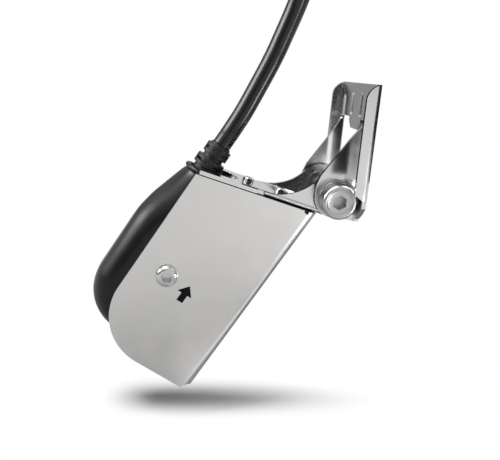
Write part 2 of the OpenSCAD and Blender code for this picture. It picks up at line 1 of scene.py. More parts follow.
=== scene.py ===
"""Sonar transducer on a kick-up transom bracket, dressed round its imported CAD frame.

Metres, in the part's own frame: X = 0 is the transom, +X points into it, +Z is up and Y = 0 is the
mid-plane. The moving half hangs from the pivot, and its pod and guard lie along a raked axis.
"""

import logging
import math
from dataclasses import dataclass, field
from enum import Enum

import bmesh
import bpy
import numpy as np
from mathutils import Matrix, Vector


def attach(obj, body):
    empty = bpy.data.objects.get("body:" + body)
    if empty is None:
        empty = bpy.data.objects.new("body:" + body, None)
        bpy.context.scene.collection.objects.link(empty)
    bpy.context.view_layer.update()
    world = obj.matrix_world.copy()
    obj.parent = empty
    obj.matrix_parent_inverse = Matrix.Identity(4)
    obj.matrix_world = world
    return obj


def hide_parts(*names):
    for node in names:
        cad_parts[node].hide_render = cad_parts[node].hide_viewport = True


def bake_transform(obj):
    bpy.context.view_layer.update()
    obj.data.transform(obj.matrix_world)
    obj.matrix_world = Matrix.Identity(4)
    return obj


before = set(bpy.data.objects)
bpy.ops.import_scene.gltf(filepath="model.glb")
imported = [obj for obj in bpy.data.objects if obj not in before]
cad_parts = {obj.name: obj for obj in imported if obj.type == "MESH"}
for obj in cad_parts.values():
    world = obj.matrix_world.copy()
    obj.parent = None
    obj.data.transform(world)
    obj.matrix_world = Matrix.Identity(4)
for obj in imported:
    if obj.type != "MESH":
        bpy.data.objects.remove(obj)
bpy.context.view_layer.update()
MM = 0.001
LOG = logging.getLogger("transducer")


class Body(Enum):
    """Bodies of the frame that a piece rides on."""

    BRACKET = "bracket"
    TRANSDUCER = "transducer"


class Grain(Enum):
    """How a steel surface was finished."""

    SATIN = "satin"
    BRIGHT = "bright"
    TURNED = "turned"


@dataclass(frozen=True)
class Pivot:
    """Frames of the moving half at rest.

    Attributes:
        set_back: transom to the pivot axis.
        drop: slot row to the pivot axis.
        arm_tilt: tilt of the arm, in degrees.
        rake: rake of the guard and pod from square to the arm, in degrees.
    """

    set_back: float = 11.9 * MM
    drop: float = 43 * MM
    arm_tilt: float = 15.2
    rake: float = 15.5

    @property
    def centre(self) -> Vector:
        """Middle of the pivot axis."""
        return Vector((-self.set_back, 0, -self.drop))

    def arm(self) -> Matrix:
        """Frame of the arm: x forward along its web, z up from it."""
        return Matrix.Translation(self.centre) @ Matrix.Rotation(math.radians(self.arm_tilt), 4, "Y")

    def raked(self) -> Matrix:
        """Frame of the guard and pod: x forward, z up along the rake."""
        return self.arm() @ Matrix.Rotation(math.radians(self.rake), 4, "Y")


PIVOT = Pivot()


class Shader:
    """Node tree of one material, with the steps that the finishes share."""

    def __init__(self, name: str, world: bpy.types.World | None = None) -> None:
        """Starts a material with its surface and its coordinates in metres, or takes up a world.

        Args:
            name: name of the material.
            world: the world to take up instead.
        """
        self.material = bpy.data.materials.new(name) if world is None else world
        self.material.use_nodes = True
        self.tree = self.material.node_tree
        self.surface = self.tree.nodes.get("Principled BSDF")
        places = self.tree.nodes.new("ShaderNodeTexCoord")
        self.metres = places.outputs["Object"]
        self.bearing = places.outputs["Generated"]

    def feed(self, socket: bpy.types.NodeSocket, value: object) -> None:
        """Links an output into a socket, or sets the socket to a plain value."""
        if isinstance(value, bpy.types.NodeSocket):
            self.tree.links.new(value, socket)
        else:
            socket.default_value = value

    def put(self, **values: object) -> None:
        """Feeds the surface's sockets, named in words joined by underscores."""
        for name, value in values.items():
            self.feed(self.surface.inputs[name.replace("_", " ")], value)

    def step(self, kind: str, inputs: dict[str | int, object], out: str | int = 0,
             **settings: object) -> bpy.types.NodeSocket:
        """Adds one node.

        Args:
            kind: the node's type, without its common prefix.
            inputs: values or outputs for its sockets.
            out: the output to hand on.
            **settings: the node's own settings.

        Returns:
            The chosen output.
        """
        node = self.tree.nodes.new("ShaderNode" + kind)
        for name, value in settings.items():
            setattr(node, name, value)
        for name, value in inputs.items():
            self.feed(node.inputs[name], value)
        return node.outputs[out]

    def noise(self, pitch: float, detail: float = 2.0,
              stretch: Vector | None = None) -> bpy.types.NodeSocket:
        """Noise whose marks are about a pitch apart.

        Args:
            pitch: distance between marks.
            detail: octaves of finer noise.
            stretch: how many times finer the marks are along each axis.

        Returns:
            The noise, about 0.5 on average.
        """
        place = self.metres
        if stretch is not None:
            place = self.step("Mapping", {"Vector": place, "Scale": stretch})
        return self.step("TexNoise", {"Vector": place, "Scale": 1 / pitch, "Detail": detail})

    def spread(self, value: bpy.types.NodeSocket, low: float, high: float, start: float = 0.3,
               stop: float = 0.7) -> bpy.types.NodeSocket:
        """Stretches a noise over a range of values.

        Args:
            value: the noise.
            low: result at the start.
            high: result at the stop.
            start: noise that gives the low result.
            stop: noise that gives the high result.

        Returns:
            The stretched value.
        """
        return self.step("MapRange", {"Value": value, "From Min": start, "From Max": stop, "To Min": low,
                                      "To Max": high})

    def tones(self, value: bpy.types.NodeSocket, low: tuple, high: tuple) -> bpy.types.NodeSocket:
        """Mixes two colours by a noise.

        Args:
            value: the noise.
            low: colour at its low end.
            high: colour at its high end.

        Returns:
            The mixed colour.
        """
        share = self.spread(value, 0, 1)
        return self.step("MixRGB", {"Fac": share, "Color1": (*low, 1), "Color2": (*high, 1)})

    def relief(self, height: bpy.types.NodeSocket, depth: float) -> bpy.types.NodeSocket:
        """Bump from a height.

        Args:
            height: the height, from 0 to 1.
            depth: depth of the marks.

        Returns:
            The normal.
        """
        return self.step("Bump", {"Height": height, "Distance": depth, "Strength": 1.0})

    def falloff(self, centre: tuple[float, float, float], start: float, stop: float, low: float,
                high: float, stretch: tuple[float, float, float] = (1, 1, 1)) -> bpy.types.NodeSocket:
        """A level that changes smoothly with the distance from a point.

        Args:
            centre: the point.
            start: distance up to which the level is low.
            stop: distance from which it is high.
            low: first level.
            high: second level.
            stretch: how many times longer distances count along each axis.

        Returns:
            The level.
        """
        away = self.distance(centre, stretch)
        return self.step("MapRange", {"Value": away, "From Min": start, "From Max": stop, "To Min": low,
                                      "To Max": high}, interpolation_type="SMOOTHSTEP")

    def by_ray(self, seen: object, mirrored: object, light: object) -> bpy.types.NodeSocket:
        """Chooses a level by what looks at the surface.

        Args:
            seen: level for the camera.
            mirrored: level for mirrors and glass.
            light: level for the light that it gives off.

        Returns:
            The level.
        """
        path = self.tree.nodes.new("ShaderNodeLightPath").outputs
        mirror = self.step("Math", {0: path["Is Glossy Ray"], 1: path["Is Transmission Ray"]},
                           operation="MAXIMUM")
        level = self.step("Mix", {0: mirror, 2: light, 3: mirrored})
        return self.step("Mix", {0: path["Is Camera Ray"], 2: level, 3: seen})

    def distance(self, centre: tuple[float, float, float],
                 stretch: tuple[float, float, float]) -> bpy.types.NodeSocket:
        """Distance from a point.

        Args:
            centre: the point.
            stretch: how many times longer distances count along each axis.

        Returns:
            The distance.
        """
        gap = self.step("VectorMath", {0: self.metres, 1: centre}, operation="SUBTRACT")
        gap = self.step("VectorMath", {0: gap, 1: stretch}, operation="MULTIPLY")
        return self.step("VectorMath", {0: gap}, out="Value", operation="LENGTH")

    def show(self, light: bpy.types.NodeSocket) -> None:
        """Puts another shader in the surface's place."""
        self.tree.nodes.remove(self.surface)
        self.tree.links.new(light, self.tree.nodes["Material Output"].inputs["Surface"])


@dataclass(frozen=True)
class Finish:
    """What every finish has.

    Attributes:
        name: name of its material.
        colour: colour in linear light.
        roughness: roughness of the surface.
    """

    name: str
    colour: tuple[float, float, float]
    roughness: float

    def material(self) -> bpy.types.Material:
        """Makes the material at the first call, and hands out the same one later."""
        found = bpy.data.materials.get(self.name)
        if found is not None:
            return found
        shader = Shader(self.name)
        shader.put(Base_Color=(*self.colour, 1), Roughness=self.roughness)
        self.paint(shader)
        return shader.material

    def shade(self, factor: float) -> tuple[float, float, float]:
        """The colour, darker or lighter by a factor."""
        red, green, blue = self.colour
        return red * factor, green * factor, blue * factor

    def paint(self, shader: Shader) -> None:
        """Adds the finish's own nodes."""
        raise NotImplementedError


@dataclass(frozen=True)
class Steel(Finish):
    """Stainless steel.

    Attributes:
        grain: how it was finished.
        centre: a point on the axis of turned rings, which runs along y.
        ring: pitch of turned rings.
        cloud: pitch of handling marks.
        rolled: pitch of rolled marks.
        blasted: pitch of blasted marks.
        mark: depth of turned and blasted marks.
        rolled_mark: depth of rolled marks.
    """

    grain: Grain = Grain.SATIN
    centre: tuple[float, float, float] = (0, 0, 0)
    ring: float = 0.35 * MM
    cloud: float = 14 * MM
    rolled: float = 6 * MM
    blasted: float = 0.22 * MM
    mark: float = 0.004 * MM
    rolled_mark: float = 0.0015 * MM

    def paint(self, shader: Shader) -> None:
        """Cloudy handling marks over the grain that the finishing left."""
        cloud = shader.noise(self.cloud, 3)
        wide = {Grain.SATIN: 0.05, Grain.BRIGHT: 0.07, Grain.TURNED: 0.06}[self.grain]
        shader.put(Metallic=1.0, Base_Color=shader.tones(cloud, self.shade(0.95), self.colour))
        shader.put(Roughness=shader.spread(cloud, self.roughness - wide / 2, self.roughness + wide))
        if self.grain is Grain.TURNED:
            away = shader.distance(self.centre, (1, 0, 1))
            wave = shader.step("Math", {0: away, 1: math.tau / self.ring}, operation="MULTIPLY")
            marks = shader.step("Math", {0: wave}, operation="SINE")
        elif self.grain is Grain.BRIGHT:
            marks = shader.noise(self.rolled, 4, Vector((1, 1, 30)))
        else:
            marks = shader.noise(self.blasted, 2)
        deep = self.rolled_mark if self.grain is Grain.BRIGHT else self.mark
        shader.put(Normal=shader.relief(marks, deep))


@dataclass(frozen=True)
class Moulding(Finish):
    """Moulded plastic or rubber.

    Attributes:
        grain: pitch of the mould's texture.
        depth: depth of that texture.
        specular: level of its mirror light.
        cloud: pitch of flow clouds.
    """

    grain: float = 0.35 * MM
    depth: float = 0.01 * MM
    specular: float = 0.5
    cloud: float = 18 * MM

    def paint(self, shader: Shader) -> None:
        """Fine mould texture, with faint flow clouds and duller patches from handling."""
        cloud = shader.noise(self.cloud, 3)
        shader.put(Base_Color=shader.tones(cloud, self.shade(0.85), self.shade(1.15)),
                   Roughness=shader.spread(cloud, self.roughness - 0.04, self.roughness + 0.05),
                   Specular_IOR_Level=self.specular)
        shader.put(Normal=shader.relief(shader.noise(self.grain, 2), self.depth))


@dataclass(frozen=True)
class Jacket(Finish):
    """Smooth extruded cable jacket.

    Attributes:
        wave: pitch of the extruder's waves.
        swell: height of those waves.
        patch: pitch of rubbed patches.
        specular: level of its mirror light.
    """

    wave: float = 9 * MM
    swell: float = 0.05 * MM
    patch: float = 25 * MM
    specular: float = 0.42

    def paint(self, shader: Shader) -> None:
        """Slow waves from the extruder, and faint rubbed patches."""
        waves = shader.noise(self.wave, 1)
        rubbed = shader.noise(self.patch, 4)
        shader.put(Specular_IOR_Level=self.specular,
                   Roughness=shader.spread(rubbed, self.roughness, self.roughness + 0.08),
                   Base_Color=shader.tones(rubbed, self.colour, self.shade(1.5)),
                   Normal=shader.relief(waves, self.swell))


@dataclass(frozen=True)
class Brass(Finish):
    """Turned brass.

    Attributes:
        patch: pitch of tarnished patches.
        ring: pitch of the marks that turning left.
        mark: depth of those marks.
    """

    patch: float = 2.5 * MM
    ring: float = 0.2 * MM
    mark: float = 0.004 * MM

    def paint(self, shader: Shader) -> None:
        """Slight tarnish over a turned surface."""
        tarnish = shader.noise(self.patch, 4)
        turned = shader.noise(self.ring, 1, Vector((1, 1, 4)))
        shader.put(Metallic=1.0, Base_Color=shader.tones(tarnish, self.shade(0.7), self.colour),
                   Roughness=shader.spread(tarnish, self.roughness + 0.1, self.roughness),
                   Normal=shader.relief(turned, self.mark))


@dataclass(frozen=True)
class Speckle(Finish):
    """A pressed or fired body, such as cork or ceramic.

    Attributes:
        fleck: pitch of its flecks.
        dark: how dark the darker flecks are.
        pit: depth of its pits.
    """

    fleck: float = 1.2 * MM
    dark: float = 0.5
    pit: float = 0.03 * MM

    def paint(self, shader: Shader) -> None:
        """Flecks of two tones, with small pits."""
        flecks = shader.step("TexVoronoi", {"Vector": shader.metres, "Scale": 1 / self.fleck}, out="Color")
        tone = shader.step("SeparateColor", {"Color": flecks}, out="Red")
        shader.put(Base_Color=shader.tones(tone, self.shade(self.dark), self.colour),
                   Normal=shader.relief(shader.noise(self.fleck / 3, 3), self.pit))


@dataclass(frozen=True)
class Lacquer(Finish):
    """Lacquered board or cast resin, glossy over a faint cloth or cloud.

    Attributes:
        weave: pitch of what shows through.
        thread: height of its threads.
        cloud: pitch of cloudy patches.
    """

    weave: float = 0.5 * MM
    thread: float = 0.004 * MM
    cloud: float = 6 * MM

    def paint(self, shader: Shader) -> None:
        """Faint weave under a clear gloss."""
        cloth = shader.step("TexChecker", {"Vector": shader.metres, "Scale": 1 / self.weave}, out="Fac")
        cloud = shader.noise(self.cloud, 2)
        shader.put(Base_Color=shader.tones(cloud, self.shade(0.8), self.shade(1.1)),
                   Normal=shader.relief(cloth, self.thread), Coat_Weight=0.3, Coat_Roughness=0.1)


@dataclass(frozen=True)
class Strap(Finish):
    """Nylon tie.

    Attributes:
        patch: pitch of scuffs.
        grain: pitch of its grain.
        mark: depth of that grain.
    """

    patch: float = 3 * MM
    grain: float = 0.5 * MM
    mark: float = 0.05 * MM

    def paint(self, shader: Shader) -> None:
        """Coarse grain and faint scuffs."""
        scuff = shader.noise(self.patch, 3)
        grain = shader.noise(self.grain, 1)
        shader.put(Base_Color=shader.tones(scuff, self.colour, self.shade(1.6)),
                   Roughness=shader.spread(scuff, self.roughness, self.roughness + 0.1),
                   Normal=shader.relief(grain, self.mark))


@dataclass(frozen=True)
class Ink(Finish):
    """Screen-printed ink.

    Attributes:
        mesh: pitch of the screen's mesh.
        mark: depth of the marks that it leaves.
        specular: level of its mirror light.
    """

    mesh: float = 0.4 * MM
    mark: float = 0.006 * MM
    specular: float = 0.15

    def paint(self, shader: Shader) -> None:
        """Slightly uneven ink film."""
        film = shader.noise(self.mesh, 2)
        shader.put(Roughness=shader.spread(film, self.roughness, self.roughness + 0.12),
                   Specular_IOR_Level=self.specular, Normal=shader.relief(film, self.mark))


BRACKET_STEEL = Steel("bright_sheet", (0.64, 0.635, 0.63), 0.18, Grain.BRIGHT)
ARM_STEEL = Steel("bright_arm_sheet", (0.64, 0.635, 0.63), 0.16, Grain.BRIGHT)
GUARD_STEEL = Steel("satin_sheet", (0.69, 0.682, 0.675), 0.34, Grain.SATIN)
BOLT_STEEL = Steel("turned_bolt", (0.43, 0.43, 0.43), 0.3, Grain.TURNED, tuple(PIVOT.centre))
SCREW_STEEL = Steel("screw_steel_bright", (0.58, 0.575, 0.57), 0.18, Grain.BRIGHT)
INSERT_BRASS = Brass("brass_turned", (0.72, 0.5, 0.2), 0.28)
BLACK_NYLON = Moulding("nylon_black", (0.016, 0.016, 0.016), 0.5)
GREY_NYLON = Moulding("nylon_grey", (0.11, 0.11, 0.115), 0.42)
POD_PLASTIC = Moulding("pod_satin_black", (0.005, 0.005, 0.0052), 0.34, 0.5 * MM, 0.005 * MM, 0.3)
WINDOW_PLASTIC = Moulding("window_cast", (0.016, 0.016, 0.018), 0.25, 2 * MM, 0.01 * MM)
RELIEF_RUBBER = Moulding("relief_matt_rubber", (0.012, 0.012, 0.012), 0.5, 0.3 * MM, 0.02 * MM, 0.3)
CABLE_JACKET = Jacket("jacket_glossy", (0.003, 0.003, 0.003), 0.23)
LEAD_JACKET = Jacket("inner_lead_jacket", (0.03, 0.03, 0.03), 0.4)
PIEZO_CERAMIC = Speckle("fired_ceramic", (0.7, 0.64, 0.5), 0.45, 0.3 * MM, 0.92)
BACKING_CORK = Speckle("pressed_cork", (0.45, 0.3, 0.16), 0.85)
BOARD_LAMINATE = Lacquer("board_lacquered", (0.02, 0.15, 0.06), 0.3)
CHIP_PLASTIC = Moulding("chip_moulded", (0.02, 0.02, 0.02), 0.55, 0.15 * MM)
POTTING_RESIN = Lacquer("resin_cast", (0.03, 0.03, 0.034), 0.25, 4 * MM)
TIE_STRAP = Strap("tie_nylon", (0.02, 0.02, 0.02), 0.45)
PLUG_PLASTIC = Moulding("plug_moulded", (0.018, 0.018, 0.018), 0.42, 0.25 * MM, 0.012 * MM)
MARK_INK = Ink("mark_ink", (0.003, 0.003, 0.003), 0.6)


def link(name: str, mesh: bpy.types.Mesh) -> bpy.types.Object:
    """Puts a mesh in the scene as an object of that name."""
    piece = bpy.data.objects.new(name, mesh)
    bpy.context.scene.collection.objects.link(piece)
    return piece


def meshed(name: str, points: np.ndarray, faces: list[list[int]]) -> bpy.types.Mesh:
    """Makes a smooth-shaded mesh with its faces turned outward.

    Args:
        name: name of the mesh.
        points: its points.
        faces: its faces, as lists of point numbers.

    Returns:
        The mesh.
    """
    mesh = bpy.data.meshes.new(name)
    mesh.from_pydata([tuple(p) for p in points], [], faces)
    skin = bmesh.new()
    skin.from_mesh(mesh)
    bmesh.ops.recalc_face_normals(skin, faces=skin.faces)
    skin.to_mesh(mesh)
    skin.free()
    mesh.shade_smooth()
    return mesh


def skinned(name: str, rings: list[np.ndarray]) -> bpy.types.Mesh:
    """Skins a row of rings, and closes both its ends.

    Args:
        name: name of the mesh.
        rings: the rings, with as many points each.

    Returns:
        The mesh.
    """
    sides, last = len(rings[0]), len(rings) - 1
    faces = [[i * sides + k, i * sides + (k + 1) % sides, (i + 1) * sides + (k + 1) % sides,
              (i + 1) * sides + k] for i in range(last) for k in range(sides)]
    faces.append(list(range(sides))[::-1])
    faces.append([last * sides + k for k in range(sides)])
    return meshed(name, np.concatenate(rings), faces)


def turned_ring(radius: float | np.ndarray, height: float, sides: int) -> np.ndarray:
    """Points of one ring round the z axis, of one radius or of one for each point."""
    turn = np.arange(sides) * math.tau / sides
    return np.stack([radius * np.cos(turn), radius * np.sin(turn), np.full(sides, height)], 1)


def break_edges(piece: bpy.types.Object, width: float, full: bool = False, crease: float = 30,
                rounds: int = 2) -> bpy.types.Object:
    """Rounds a piece's sharp edges.

    Args:
        piece: the piece.
        width: width of the rounding.
        full: whether it keeps that width where edges crowd.
        crease: the sharpness, in degrees, from which an edge counts as sharp.
        rounds: segments across the rounding.

    Returns:
        The same piece.
    """
    bevel = piece.modifiers.new("broken_edges", "BEVEL")
    bevel.limit_method = "ANGLE"
    bevel.angle_limit = math.radians(crease)
    bevel.width = width
    bevel.segments = rounds
    bevel.use_clamp_overlap = not full
    bevel.harden_normals = True
    return piece


def bare_copy(node: str, weld: float = 0.004 * MM, flat: float = 0.5) -> bpy.types.Mesh:
    """Copies a CAD node's shape into a clean mesh, its flat faces made whole again.

    Args:
        node: name of the CAD node.
        weld: distance below which points become one.
        flat: the bend, in degrees, below which faces become one.

    Returns:
        The mesh.
    """
    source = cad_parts[node].data
    skin = bmesh.new()
    skin.from_mesh(source)
    bmesh.ops.remove_doubles(skin, verts=skin.verts, dist=weld)
    bmesh.ops.dissolve_limit(skin, angle_limit=math.radians(flat), verts=skin.verts, edges=skin.edges)
    points = np.array([v.co[:] for v in skin.verts])
    skin.verts.index_update()
    faces = [[v.index for v in f.verts] for f in skin.faces]
    skin.free()
    return meshed("dressed_" + node, points, faces)


def lathe(name: str, outline: list[tuple[float, float]], at: Matrix, sides: int = 64) -> bpy.types.Object:
    """Turns an outline round the z axis of a frame.

    Args:
        name: name of the piece.
        outline: radius and height of each point, from one end of the axis to the other.
        at: the frame.
        sides: facets round the axis.

    Returns:
        The piece.
    """
    mesh = skinned(name, [turned_ring(radius, height, sides) for radius, height in outline])
    mesh.transform(at)
    return link(name, mesh)


def arc(radius: float, at: tuple[float, float], steps: int = 8) -> list[tuple[float, float]]:
    """Quarter round from straight up to straight out.

    Args:
        radius: its radius.
        at: radius and height of its centre.
        steps: stretches along it.

    Returns:
        Radius and height of each point.
    """
    turns = [math.radians(90 - 90 * k / steps) for k in range(steps + 1)]
    return [(at[0] + radius * math.cos(t), at[1] + radius * math.sin(t)) for t in turns]


def socket_head(name: str, outline: list[tuple[float, float]], flats: float, floor: float, at: Matrix,
                sides: int = 72, crease: float = 35) -> bpy.types.Object:
    """Turns a screw with a hex socket in its head round the z axis of a frame.

    Args:
        name: name of the piece.
        outline: radius and height of each point, from the socket's mouth out and down to the tip.
        flats: width of the socket across its flats.
        floor: height of the socket's floor.
        at: the frame.
        sides: facets round the axis.
        crease: the sharpness, in degrees, from which an edge stays sharp.

    Returns:
        The screw.
    """
    turn = np.arange(sides) * math.tau / sides
    sixth = math.tau / 6
    hexed = flats / 2 / np.cos((turn + sixth / 2) % sixth - sixth / 2)
    mouth = outline[0][1]
    rims = [(hexed, floor), (hexed, mouth), *outline]
    mesh = skinned(name, [turned_ring(radius, height, sides) for radius, height in rims])
    mesh.transform(at)
    mesh.set_sharp_from_angle(angle=math.radians(crease))
    return link(name, mesh)


def joined(name: str, parts: list[bpy.types.Object]) -> bpy.types.Object:
    """Makes one piece of several, and removes them.

    Args:
        name: name of the piece.
        parts: what it is made of.

    Returns:
        The piece.
    """
    skin = bmesh.new()
    for part in parts:
        skin.from_mesh(part.data)
    mesh = bpy.data.meshes.new(name)
    skin.to_mesh(mesh)
    skin.free()
    for part in parts:
        bpy.data.objects.remove(part)
    return link(name, mesh)


def smooth_route(points: np.ndarray, steps: int) -> np.ndarray:
    """Runs one smooth curve through points.

    Args:
        points: the points.
        steps: places on the curve for each stretch between two points.

    Returns:
        Places along the curve.
    """
    ahead = np.concatenate([points[1:], points[-1:]])
    behind = np.concatenate([points[:1], points[:-1]])
    pull = (ahead - behind) / 2
    t = (np.arange(steps) / steps)[None, :, None]
    a, b = points[:-1, None], points[1:, None]
    m, n = pull[:-1, None], pull[1:, None]
    curve = (a * (2 * t**3 - 3 * t**2 + 1) + m * (t**3 - 2 * t**2 + t) + b * (3 * t**2 - 2 * t**3)
             + n * (t**3 - t**2))
    return np.concatenate([curve.reshape(-1, 3), points[-1:]])


def eased(share: np.ndarray) -> np.ndarray:
    """Makes a share from 0 to 1 start and stop gently."""
    share = np.clip(share, 0, 1)
    return np.where(share < 0.5, 2 * share**2, 1 - 2 * (1 - share)**2)


def tube(name: str, line: np.ndarray, radius: float, sides: int) -> bpy.types.Object:
    """Sweeps a round tube along a line, without twist.

    Args:
        name: name of the piece.
        line: places along its middle.
        radius: radius of the tube.
        sides: facets round it.

    Returns:
        The piece.
    """
    run = np.gradient(line, axis=0)
    run /= np.linalg.norm(run, axis=1)[:, None]
    side = np.cross(run[0], (1, 0, 0))
    turn = np.arange(sides) * math.tau / sides
    rings = []
    for place, ahead in zip(line, run):
        side = side - ahead * side.dot(ahead)
        side /= np.linalg.norm(side)
        over = np.cross(ahead, side)
        rings.append(place + radius * (np.cos(turn)[:, None] * side + np.sin(turn)[:, None] * over))
    return link(name, skinned(name, rings))


def cut_sheet(name: str, outline: list[tuple[float, float]], thick: float, at: Matrix) -> bpy.types.Object:
    """Gives a flat outline a thickness.

    Args:
        name: name of the piece.
        outline: x and z of its corners in the frame.
        thick: thickness, towards -y of the frame.
        at: the frame.

    Returns:
        The piece.
    """
    count = len(outline)
    points = np.array([(x, 0, z) for x, z in outline] + [(x, -thick, z) for x, z in outline])
    faces = [list(range(count)), [count + k for k in reversed(range(count))]]
    faces += [[k, (k + 1) % count, count + (k + 1) % count, count + k] for k in range(count)]
    mesh = meshed(name, points, faces)
    mesh.shade_flat()
    mesh.transform(at)
    return link(name, mesh)


@dataclass
class SubAssembly:
    """What every sub-assembly has: the pieces that it has made.

    Attributes:
        pieces: its pieces, in the order of making.
    """

    pieces: list[bpy.types.Object] = field(default_factory=list, init=False)

    def keep(self, piece: bpy.types.Object, finish: Finish, body: Body, *nodes: str) -> bpy.types.Object:
        """Finishes a piece, hangs it on its body and lets it stand for CAD nodes.

        Args:
            piece: the piece.
            finish: its finish.
            body: the body that it rides on.
            *nodes: the CAD nodes that it replaces.

        Returns:
            The same piece.
        """
        piece.data.materials.append(finish.material())
        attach(piece, body.value)
        self.name_slot(piece, *nodes)
        self.pieces.append(piece)
        return piece

    def name_slot(self, piece: bpy.types.Object, *nodes: str) -> None:
        """Lets a piece stand for CAD nodes by hiding them."""
        if nodes:
            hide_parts(*nodes)

    def finish_copy(self, node: str, finish: Finish, body: Body, edge: float,
                    full: bool = False) -> bpy.types.Object:
        """Makes a piece from a CAD node, with its edges broken.

        Args:
            node: the CAD node.
            finish: its finish.
            body: the body that it rides on.
            edge: width of the broken edges.
            full: whether they keep that width where edges crowd.

        Returns:
            The piece.
        """
        piece = break_edges(link("dressed_" + node, bare_copy(node)), edge, full)
        return self.keep(piece, finish, body, node)

    def finish_smooth(self, node: str, finish: Finish, body: Body, crease: float = 32) -> bpy.types.Object:
        """Makes a piece from a CAD node with curved faces, smooth up to its creases.

        Args:
            node: the CAD node.
            finish: its finish.
            body: the body that it rides on.
            crease: the sharpness, in degrees, from which an edge stays sharp.

        Returns:
            The piece.
        """
        piece = link("dressed_" + node, bare_copy(node))
        piece.data.set_sharp_from_angle(angle=math.radians(crease))
        return self.keep(piece, finish, body, node)

    def finish_node(self, node: str, finish: Finish) -> None:
        """Gives a CAD node that stays as it is a finish."""
        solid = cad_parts[node]
        for holder in solid.material_slots:
            holder.material = finish.material()
        self.pieces.append(solid)

    def build(self) -> None:
        """Makes the sub-assembly's pieces."""
        raise NotImplementedError


